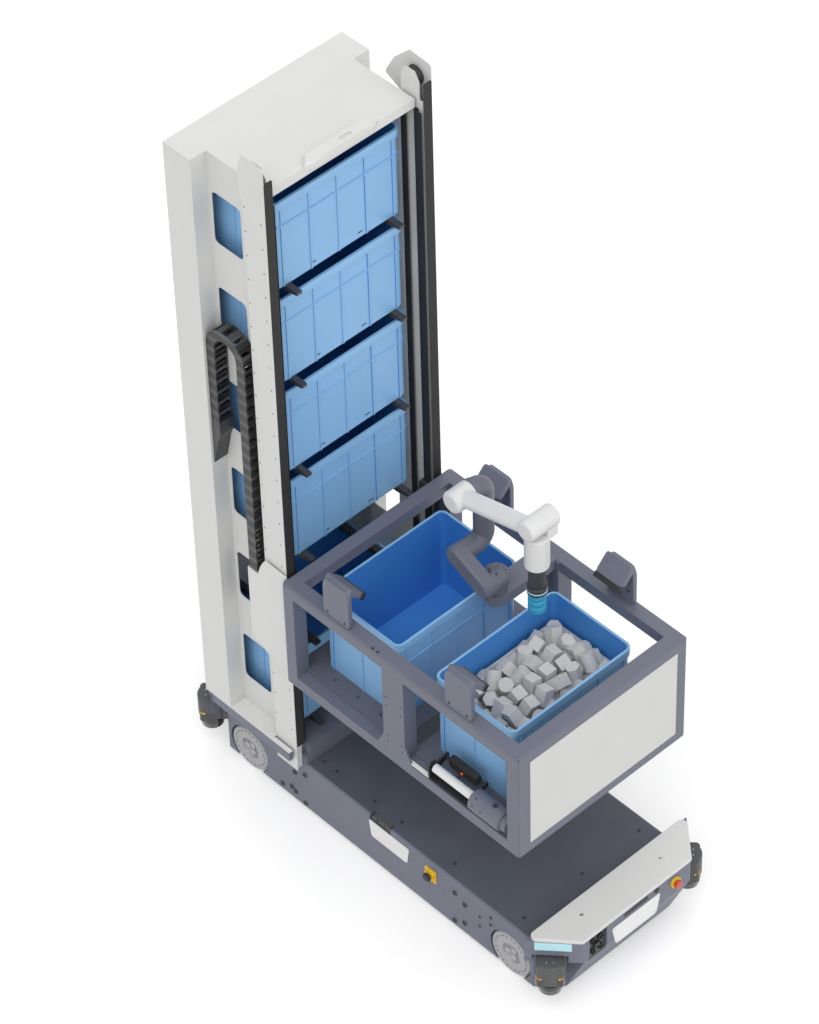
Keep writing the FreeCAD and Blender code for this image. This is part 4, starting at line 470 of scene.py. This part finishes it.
class DeckFasteners(bpy.types.Operator):
    """Screws on the deck, cover and hull"""
    bl_idname = "robot.deck_fasteners"
    bl_label = "Deck fasteners"

    def execute(self, context):
        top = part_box("deck_plate")[1].z / MM
        screws = Form("deck_screws", "dark_steel", "base", "dark_metal")
        rows = [(x, side * 297) for x in (-63, 3, 211, 357, 640, 1000) for side in (1, -1)]
        for x, y in rows + [(1000, 1), (640, 1)]:
            screws.screw(spot(x, y, top), (0, 0, 1), settings().deck_screw, 0.003)
        screws.piece(0)
        hull = (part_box("base_hull")[1].y - MID_Y) / MM
        bolts = Form("hull_bolts", "dark_steel", "base", "dark_metal")
        for x, z in ((696, 198), (748, 174), (693, 41), (746, 69), (-173, 169), (-116, 198),
                     (-174, 60), (-120, 36), (-248, 47), (-196, 71)):
            for side in (1, -1):
                bolts.screw(spot(x, side * hull, z), (0, side, 0), settings().side_bolt, 0.004)
        for x, z in ((827, 173), (885, 217), (826, 121), (884, 177)):
            for side in (1, -1):
                bolts.screw(spot(x, side * hull, z), (0, side, 0), settings().side_bolt * 0.55, 0.003)
        bolts.piece(0)
        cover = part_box("front_cover")[1].z / MM
        heads = Form("cover_screws", "bright_steel", "base", "steel")
        for x, y in ((1192, -194), (1204, 201)):
            heads.screw(spot(x, y, cover), (0, 0, 1), 0.0075, 0.002)
        heads.piece(0)
        return {"FINISHED"}


class NumberPlates(bpy.types.Operator):
    """Bare plates on the front head and on the hull's sides, and the slit over the front one"""
    bl_idname = "robot.number_plates"
    bl_label = "Bare plates"

    def execute(self, context):
        plate = Form("front_plate", "plate_white", "base", "white_plastic")
        corners = [(-111, 207), (99, 207), (119, 303), (-131, 303)]
        plate.slab([on_nose(y, z) for y, z in corners], (1, 0, 0), 0.003, 0.014)
        plate.piece(0.0008)
        plate = Form("side_plate", "plate_white", "base", "white_plastic")
        half = (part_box("base_hull")[1].y - MID_Y) / MM
        corners = [(251, 155), (443, 155), (455, 240), (239, 240)]
        for side in (1, -1):
            plate.slab([spot(x, side * half, z) for x, z in corners], (0, side, 0), 0.003, 0.010)
        plate.piece(0.0008)
        rim = Form("plate_screws", "bright_steel", "base", "steel")
        for y, z in ((-118, 293), (107, 293), (-103, 217), (92, 217)):
            rim.screw(on_nose(y, z, -0.003), (1, 0, 0), 0.0035, 0.0014)
        rim.piece(0)
        slit = Form("nose_slit", "black_moulding", "base", "black_plastic")
        slit.slab([on_nose(y, z) for y, z in rectangle(-66, 56, 317, 333)], (1, 0, 0), 0.0016, 0.006)
        slit.turned([(0.012, 0), (0.012, 0.0026), (0.008, 0.0034), (0, 0.001)], on_nose(101, 326),
                    (1, 0, 0), 24)
        slit.piece(0.0004)
        return {"FINISHED"}


class HeadTrims(bpy.types.Operator):
    """Visors, marks, dots and screws of the scanners, and the sockets of the front head"""
    bl_idname = "robot.head_trims"
    bl_label = "Head trims"

    def execute(self, context):
        visors = Form("scanner_visors", "dome_smoke", "base", "black_plastic")
        marks = Form("scanner_marks", "signal_yellow", "base", "yellow_plastic")
        dots = Form("scanner_dots", "marker_orange", "base", "red_plastic")
        bolts = Form("scanner_screws", "bright_steel", "base", "steel")
        for name in SCANNERS:
            low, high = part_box(name)
            out_x = 1 if "front" in name else -1
            out_y = 1 if "left" in name else -1
            way = Vector((out_x, out_y, 0)).normalized()
            across = Vector((-way.y, way.x, 0))
            centre = (low + high) / 2 + way * 0.0135

            def at(ahead, sideways, rise):
                return Vector((centre.x, centre.y, low.z + rise)) + way * ahead + across * sideways

            visors.slab([at(ahead, sideways, 0.070) for ahead, sideways in
                         rectangle(-0.030, 0.0448, -0.0528, 0.0528)], (0, 0, 1), 0.038, 0.016)
            for side in (-1, 1):
                marks.slab([at(ahead, side * sideways, 0.106) for ahead, sideways in
                            ((0.020, 0.030), (0.0448, 0.030), (0.0448, 0.038), (0.0396, 0.0476),
                             (0.030, 0.0528), (0.020, 0.0528))], (0, 0, 1), 0.009, 0.003)
                dots.slab([at(ahead, side * sideways, 0.107) for ahead, sideways in
                           ((0.030, 0.036), (0.0452, 0.034), (0.0452, 0.0385), (0.0405, 0.0470),
                            (0.034, 0.046))], (0, 0, 1), 0.007, 0.001)
                bolts.screw(at(0.018, side * 0.013, 0.1765), (0, 0, 1), 0.0035, 0.0012, 0.001)
        for form in (visors, marks, dots, bolts):
            form.piece(0.0004)
        panel = Form("port_panel", "housing_grey", "base", "grey_plastic")
        panel.slab([on_nose(y, z, 0.0178) for y, z in rectangle(-241, -157, 209, 336)],
                   (1, 0, 0), 0.003, 0.006)
        panel.piece(0.0005)
        ports = Form("port_sockets", "black_moulding", "base", "black_plastic")
        for y, z in ((-218, 300), (-180, 300), (-218, 246), (-180, 246)):
            ports.turned([(0.014, 0), (0.014, 0.009), (0.011, 0.011), (0.010, 0.004), (0, 0.004)],
                         on_nose(y, z, 0.0150), (1, 0, 0), 24)
        ports.block(on_nose(-212, 264, 0.0150), on_nose(-186, 282, 0.004), 0.003)
        ports.piece(0.0004)
        return {"FINISHED"}


class WheelTrims(bpy.types.Operator):
    """Dots round the wheels' rims"""
    bl_idname = "robot.wheel_trims"
    bl_label = "Wheel trims"

    def execute(self, context):
        ring = 0.080
        count = settings().rim_dots
        for node, body in WHEELS.items():
            low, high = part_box(node)
            middle = (low + high) / 2
            out = 1 if "left" in node else -1
            face = high.y if out > 0 else low.y
            centre = Vector((middle.x, face - out * 0.0009, middle.z))
            dots = Form(node + "_trims", "dark_steel", body, "dark_metal")
            for k in range(count):
                turn = 2 * math.pi * k / count
                place = centre + Vector((ring * math.cos(turn), 0, ring * math.sin(turn)))
                dots.turned([(0.0026, -0.001), (0.0026, 0.0006), (0, 0.0008)], place, (0, out, 0), 10)
            dots.piece(0)
        return {"FINISHED"}


class MastTrims(bpy.types.Operator):
    """Small holes and belts of the mast's columns"""
    bl_idname = "robot.mast_trims"
    bl_label = "Mast trims"

    def execute(self, context):
        holes = Form("column_holes", "dark_steel", "base", "dark_metal")
        half = (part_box("mast_column_left")[1].y - MID_Y) / MM
        z = 460
        while z < 3000:
            for side in (1, -1):
                for x, rise in ((-138, 0), (-222, 30)):
                    holes.turned([(0.0034, 0), (0.0030, 0.0004), (0, 0.0002)], spot(x, side * half, z + rise),
                                 (0, side, 0), 12)
            z += settings().hole_pitch / MM
        holes.piece(0)
        belts = Form("column_belts", "belt_black", "base", "black_plastic")
        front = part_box("mast_column_left")[1].x
        inner = (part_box("mast_column_left")[0].y - MID_Y) / MM
        for side in (1, -1):
            belts.slab([(front, y * MM * side + MID_Y, z) for y, z in rectangle(345, 383, 0.372, 3.140)],
                       (1, 0, 0), 0.0007, 0.012)
            for x0, x1 in ((-226, -197), (-145, -121)):
                belts.slab([spot(x, side * inner, z) for x, z in rectangle(x0, x1, 372, 3014)],
                           (0, -side, 0), 0.0007)
        belts.piece(0)
        return {"FINISHED"}


class CarriageTrims(bpy.types.Operator):
    """Screws and strip of the carriage"""
    bl_idname = "robot.carriage_trims"
    bl_label = "Carriage trims"

    def execute(self, context):
        half = (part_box("carriage_frame")[1].y - MID_Y) / MM
        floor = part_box("carriage_floor")[1].z / MM
        strip = Form("beam_strip", "plate_white", "carriage", "white_plastic")
        strip.slab([spot(x, y, floor) for x, y in rectangle(521, 640, -419, -402)], (0, 0, 1), 0.003, 0.003)
        strip.piece(0.0005)
        bolts = Form("carriage_bolts", "dark_steel", "carriage", "dark_metal")
        for side in (-1, 1):
            for x in (432, 508):
                for z in (1105, 1060, 905, 870):
                    place, normal = touch("carriage_frame", spot(x, side * (half + 50), z), (0, -side, 0))
                    bolts.screw(place, normal, 0.0045, 0.0005, 0.001)
            for x in (360, 385):
                bolts.screw(spot(x, side * (half - 12), CARRIAGE_TOP / MM), (0, 0, 1), 0.006, 0.0015)
            for x in (60, 180, 300):
                bolts.screw(spot(x, side * 330, floor), (0, 0, 1), 0.005, 0.0015)
        bolts.piece(0)
        return {"FINISHED"}


class TransferTrims(bpy.types.Operator):
    """Pad with its rod and mark, and motor screws, of the transfer unit on the near beam"""
    bl_idname = "robot.transfer_trims"
    bl_label = "Transfer unit trims"

    def execute(self, context):
        lean = (0, 1, 0.2)
        pad = Form("pad_shell", "black_moulding", "pad", "black_plastic")
        pad.slab([spot(x, -351, z) for x, z in rectangle(676, 824, 878, 928)], lean, 0.021, 0.025, 8)
        pad.slab([spot(x, -353, z) for x, z in rectangle(690, 810, 886, 918)], lean, 0.003, 0.016, 8)
        pad.turned([(0.005, 0), (0.005, 0.036), (0, 0.036)], spot(750, -384, 893), lean, 16)
        pad.piece(0.0025)
        mark = Form("pad_mark", "marker_orange", "pad", "red_plastic")
        mark.turned([(0.0062, 0), (0.0062, 0.008), (0.0048, 0.0085)], spot(750, -362, 897), lean, 16)
        mark.piece(0)
        screws = Form("motor_screws", "dark_steel", "carriage", "dark_metal")
        for x, rise, radius in ((885, 0.35, 0.0042), (885, 1.1, 0.0042), (925, 0.35, 0.0042),
                                (960, 1.6, 0.011)):
            way = Vector((0, math.cos(rise), -math.sin(rise)))
            place, normal = touch("transfer_unit", spot(x, -396, 883) - way * 0.3, way)
            screws.screw(place, normal, radius, 0.0006, 0.001)
        screws.piece(0)
        return {"FINISHED"}


class SensorBrackets(bpy.types.Operator):
    """Thin upright plates with leaning sensor heads over the carriage"""
    bl_idname = "robot.sensor_brackets"
    bl_label = "Sensor brackets"

    def execute(self, context):
        low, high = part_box("sensor_brackets")
        half = high.y - MID_Y
        plates = Form("bracket_plates", "slate_coat", "carriage", "slate_paint")
        caps = Form("bracket_caps", "black_moulding", "carriage", "black_plastic")
        bolts = Form("bracket_screws", "dark_steel", "carriage", "dark_metal")
        for side in (1, -1):
            for x in (low.x, high.x - BRACKET_LENGTH):
                def at(along, inward, rise):
                    return Vector((x + along, MID_Y + side * (half - inward), low.z + rise))

                def strip(back, front, outer, inner):
                    return [at(back, *outer), at(front, *outer), at(front, *inner), at(back, *inner)]

                outline = [(0, 0), (BRACKET_LENGTH, 0), (BRACKET_LENGTH, 0.150), (0.120, 0.182),
                           (0.013, 0.182), (0, 0.150)]
                plates.slab([at(along, 0, rise) for along, rise in outline], (0, -side, 0), 0.020, 0.016)
                tilt = (at(0, 0.030, 0.036) - at(0, 0, 0)).normalized()
                plates.slab(strip(0.003, 0.130, (0.004, 0.172), (0.064, 0.112)), tilt, 0.026, 0.014)
                caps.slab(strip(0.003, 0.130, (0.060, 0.113), (0.078, 0.097)), tilt, 0.027, 0.007)
                for along in (0.022, 0.111):
                    bolts.screw(at(along, 0, 0.020), (0, side, 0), 0.005, 0.002)
                    bolts.screw(at(along, 0.020, 0.060), (0, -side, 0), 0.005, 0.002)
        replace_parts(plates.piece(0.003), "sensor_brackets")
        caps.piece(0.0015)
        bolts.piece(0)
        return {"FINISHED"}


class PickedGoods(bpy.types.Operator):
    """Loose blocks, rods and hexagonal prisms that fill the front tote"""
    bl_idname = "robot.picked_goods"
    bl_label = "Goods in the tote"

    def execute(self, context):
        low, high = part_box("tote_goods")
        goods = Form("loose_goods", "goods_card", "carriage", "goods_grey")
        chance = random.Random(GOODS_SEED)
        # pieces along X and along Y, height of the middles, distance from the walls
        for columns, rows, level, inset in ((5, 8, high.z - 0.092, 0.050), (4, 6, high.z - 0.050, 0.095)):
            for i in range(columns):
                for k in range(rows):
                    x = low.x + inset + (high.x - low.x - 2 * inset) * i / (columns - 1)
                    y = low.y + inset + (high.y - low.y - 2 * inset) * k / (rows - 1)
                    size = chance.uniform(0.032, 0.037)
                    axis = Vector((chance.uniform(-0.8, 0.8), chance.uniform(-0.8, 0.8), 1)).normalized()
                    sides = chance.choice((4, 4, 6, 28))
                    radius = 0.034 if sides == 4 else 0.028
                    where = Vector((x, y, level + chance.uniform(-0.014, 0.0)))
                    goods.turned([(0, -size), (radius, -size), (radius, size), (0, size)], where, axis, sides)
        goods.block(low + Vector((0.004, 0.004, 0.002)), high - Vector((0.004, 0.004, 0.105)))
        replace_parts(goods.piece(0.0012, 30), "tote_goods")
        return {"FINISHED"}


class ToteTrims(bpy.types.Operator):
    """Dark slots low on the totes' front walls"""
    bl_idname = "robot.tote_trims"
    bl_label = "Tote trims"

    def execute(self, context):
        for name in TOTES:
            low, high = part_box(name)
            body = "base" if name.startswith("rack") else "carriage"
            slots = Form(name + "_slots", "black_moulding", body, "black_plastic")
            face = low.x + (high.x - low.x) * 0.978
            for y in (-0.12, 0.10):
                mid = (low.y + high.y) / 2 + y
                corners = rectangle(mid - 0.012, mid + 0.012, low.z + 0.020, low.z + 0.026)
                slots.slab([(face, y, z) for y, z in corners], (1, 0, 0), 0.002)
            slots.piece(0)
        return {"FINISHED"}


class ArmTrims(bpy.types.Operator):
    """Tool ring and screws of the pick arm, and a connector and a seam that its wrist solid covers"""
    bl_idname = "robot.arm_trims"
    bl_label = "Arm trims"

    def execute(self, context):
        low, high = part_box("arm_tool")
        middle = (low + high) / 2
        radius = (high.x - low.x) / 2
        ring = Form("tool_ring", "lamp_lens", "tool", "light_blue")
        inner, outer = radius - 0.0005, radius + 0.0008
        ring.turned([(inner, 0), (outer, 0.001), (outer, 0.005), (inner, 0.006)],
                    (middle.x, middle.y, low.z + 0.012), (0, 0, 1), 48)
        ring.piece(0)
        wrist_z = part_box("arm_wrist")[0].z
        plug = Form("wrist_connector", "bright_steel", "wrist", "steel")
        plug.turned([(0.008, -0.003), (0.008, 0.004), (0.006, 0.006), (0.0045, 0.006), (0.0045, 0.002),
                     (0, 0.002)], (middle.x + 0.034, middle.y, wrist_z + 0.045), (1, 0, 0), 20)
        plug.piece(0.0003)
        screws = Form("arm_link_screws", "dark_steel", "lower_link", "dark_metal")
        for x, z in ((341, 1431), (408, 1400), (475, 1370)):
            place, normal = touch("arm_link", spot(x, -300, z), (0, 1, 0))
            screws.screw(place, normal, 0.0048, 0.0016, 0.001)
        screws.piece(0)
        low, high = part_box("arm_turret")
        screws = Form("turret_screws", "dark_steel", "turret", "dark_metal")
        for k in range(3):
            turn = math.radians(200 + 55 * k)
            above = Vector((0.030 * math.cos(turn), 0.030 * math.sin(turn), high.z))
            place, normal = touch("arm_turret", (low + high) / 2 + above, (0, 0, -1))
            screws.screw(place, normal, 0.0048, 0.0016, 0.001)
        screws.piece(0)
        seam = Form("wrist_seam", "black_moulding", "wrist", "black_plastic")
        seam.turned([(0.0432, 0), (0.0432, 0.0012)], (middle.x, middle.y, wrist_z + 0.012), (0, 0, 1), 48)
        seam.piece(0)
        return {"FINISHED"}


class Studio(bpy.types.Operator):
    """Floor, soft lamps, room light and camera"""
    bl_idname = "robot.studio"
    bl_label = "Studio"

    def execute(self, context):
        scene = context.scene
        bm = bmesh.new()
        bmesh.ops.create_grid(bm, x_segments=2, y_segments=2, size=40)
        mesh = bpy.data.meshes.new("studio_floor")
        bm.to_mesh(mesh)
        bm.free()
        floor = bpy.data.objects.new("studio_floor", mesh)
        scene.collection.objects.link(floor)
        floor.location.z = -0.0005
        mat = bpy.data.materials.new("studio_floor")
        mat.use_nodes = True
        tree = mat.node_tree
        tree.nodes.clear()
        colour = tuple(settings().floor_colour) + (1,)
        matte = wire(tree, "ShaderNodeBsdfDiffuse", Color=colour).outputs[0]
        path = tree.nodes.new("ShaderNodeLightPath")
        seen = sums(tree, "MAXIMUM", path.outputs["Is Camera Ray"],
                    sums(tree, "MAXIMUM", path.outputs["Is Glossy Ray"], path.outputs["Is Transmission Ray"]))
        pale = wire(tree, "ShaderNodeEmission", Strength=sums(tree, "MULTIPLY", seen, FLOOR_GLOW)).outputs[0]
        both = wire(tree, "ShaderNodeAddShader", i0=matte, i1=pale).outputs[0]
        wire(tree, "ShaderNodeOutputMaterial", Surface=both)
        mesh.materials.append(mat)
        world = bpy.data.worlds.new("studio_room")
        world.use_nodes = True
        scene.world = world
        tree = world.node_tree
        tree.nodes.clear()
        path = tree.nodes.new("ShaderNodeLightPath")
        seen = sums(tree, "MAXIMUM", path.outputs["Is Camera Ray"], path.outputs["Is Transmission Ray"])
        strength = wire(tree, "ShaderNodeMix", i0=seen, i2=settings().fill_strength, i3=1.0).outputs[0]
        room = wire(tree, "ShaderNodeBackground", Strength=strength, Color=(1, 1, 1, 1)).outputs[0]
        wire(tree, "ShaderNodeOutputWorld", Surface=room)
        for name, way, power in (("key_lamp", (0.30, -0.45, 0.85), settings().key_strength),
                                 ("side_lamp", (0.80, 0.15, 0.45), settings().key_strength * 0.45),
                                 ("rear_lamp", (-0.6, 0.5, 0.6), settings().key_strength * 0.3)):
            lamp = bpy.data.lights.new(name, "SUN")
            lamp.energy = power
            lamp.angle = math.radians(50)
            obj = bpy.data.objects.new(name, lamp)
            obj.rotation_euler = Vector(way).to_track_quat("Z", "Y").to_euler()
            scene.collection.objects.link(obj)
        scene.view_settings.view_transform = "Standard"
        camera = bpy.data.cameras.new("camera")
        camera.sensor_fit = "HORIZONTAL"
        camera.sensor_width = 36
        camera.lens = camera.sensor_width * FOCAL
        camera.clip_end = 200
        eye = bpy.data.objects.new("camera", camera)
        scene.collection.objects.link(eye)
        turn, rise, roll = (math.radians(a) for a in VIEW_ANGLES)
        back = Vector((math.sin(turn) * math.cos(rise), -math.cos(turn) * math.cos(rise), math.sin(rise)))
        right = Vector((math.cos(turn), math.sin(turn), 0))
        up = back.cross(right)
        c, s = math.cos(roll), math.sin(roll)
        right, up = right * c + up * s, up * c - right * s
        pose = Matrix((right, up, back)).transposed().to_4x4()
        pose.translation = spot(*VIEW_PLACE)
        eye.matrix_world = pose
        scene.camera = eye
        return {"FINISHED"}


OPERATORS = (FinishSolids, DeckFasteners, NumberPlates, HeadTrims, WheelTrims, MastTrims, CarriageTrims,
             TransferTrims, SensorBrackets, PickedGoods, ToteTrims, ArmTrims, Studio)


class RobotPanel(bpy.types.Panel):
    """Buttons of the dressing, in the sidebar"""
    bl_idname = "VIEW3D_PT_robot_dress"
    bl_label = "Robot dressing"
    bl_space_type = "VIEW_3D"
    bl_region_type = "UI"
    bl_category = "Robot"

    def draw(self, context):
        for name in DressSettings.__annotations__:
            self.layout.prop(context.scene.robot_dress, name)
        for kind in OPERATORS:
            self.layout.operator(kind.bl_idname)


def register():
    for kind in (DressSettings, *OPERATORS, RobotPanel):
        bpy.utils.register_class(kind)
    bpy.types.Scene.robot_dress = bpy.props.PointerProperty(type=DressSettings)


def unregister():
    del bpy.types.Scene.robot_dress
    for kind in reversed((DressSettings, *OPERATORS, RobotPanel)):
        bpy.utils.unregister_class(kind)


def main():
    register()
    for obj in [o for o in bpy.data.objects if o.name in ("Cube", "Light", "Camera")]:
        bpy.data.objects.remove(obj)
    for kind in OPERATORS:
        group, name = kind.bl_idname.split(".")
        if getattr(getattr(bpy.ops, group), name)() != {"FINISHED"}:
            raise RuntimeError(kind.bl_idname + " did not finish")


if __name__ == "__main__":
    main()
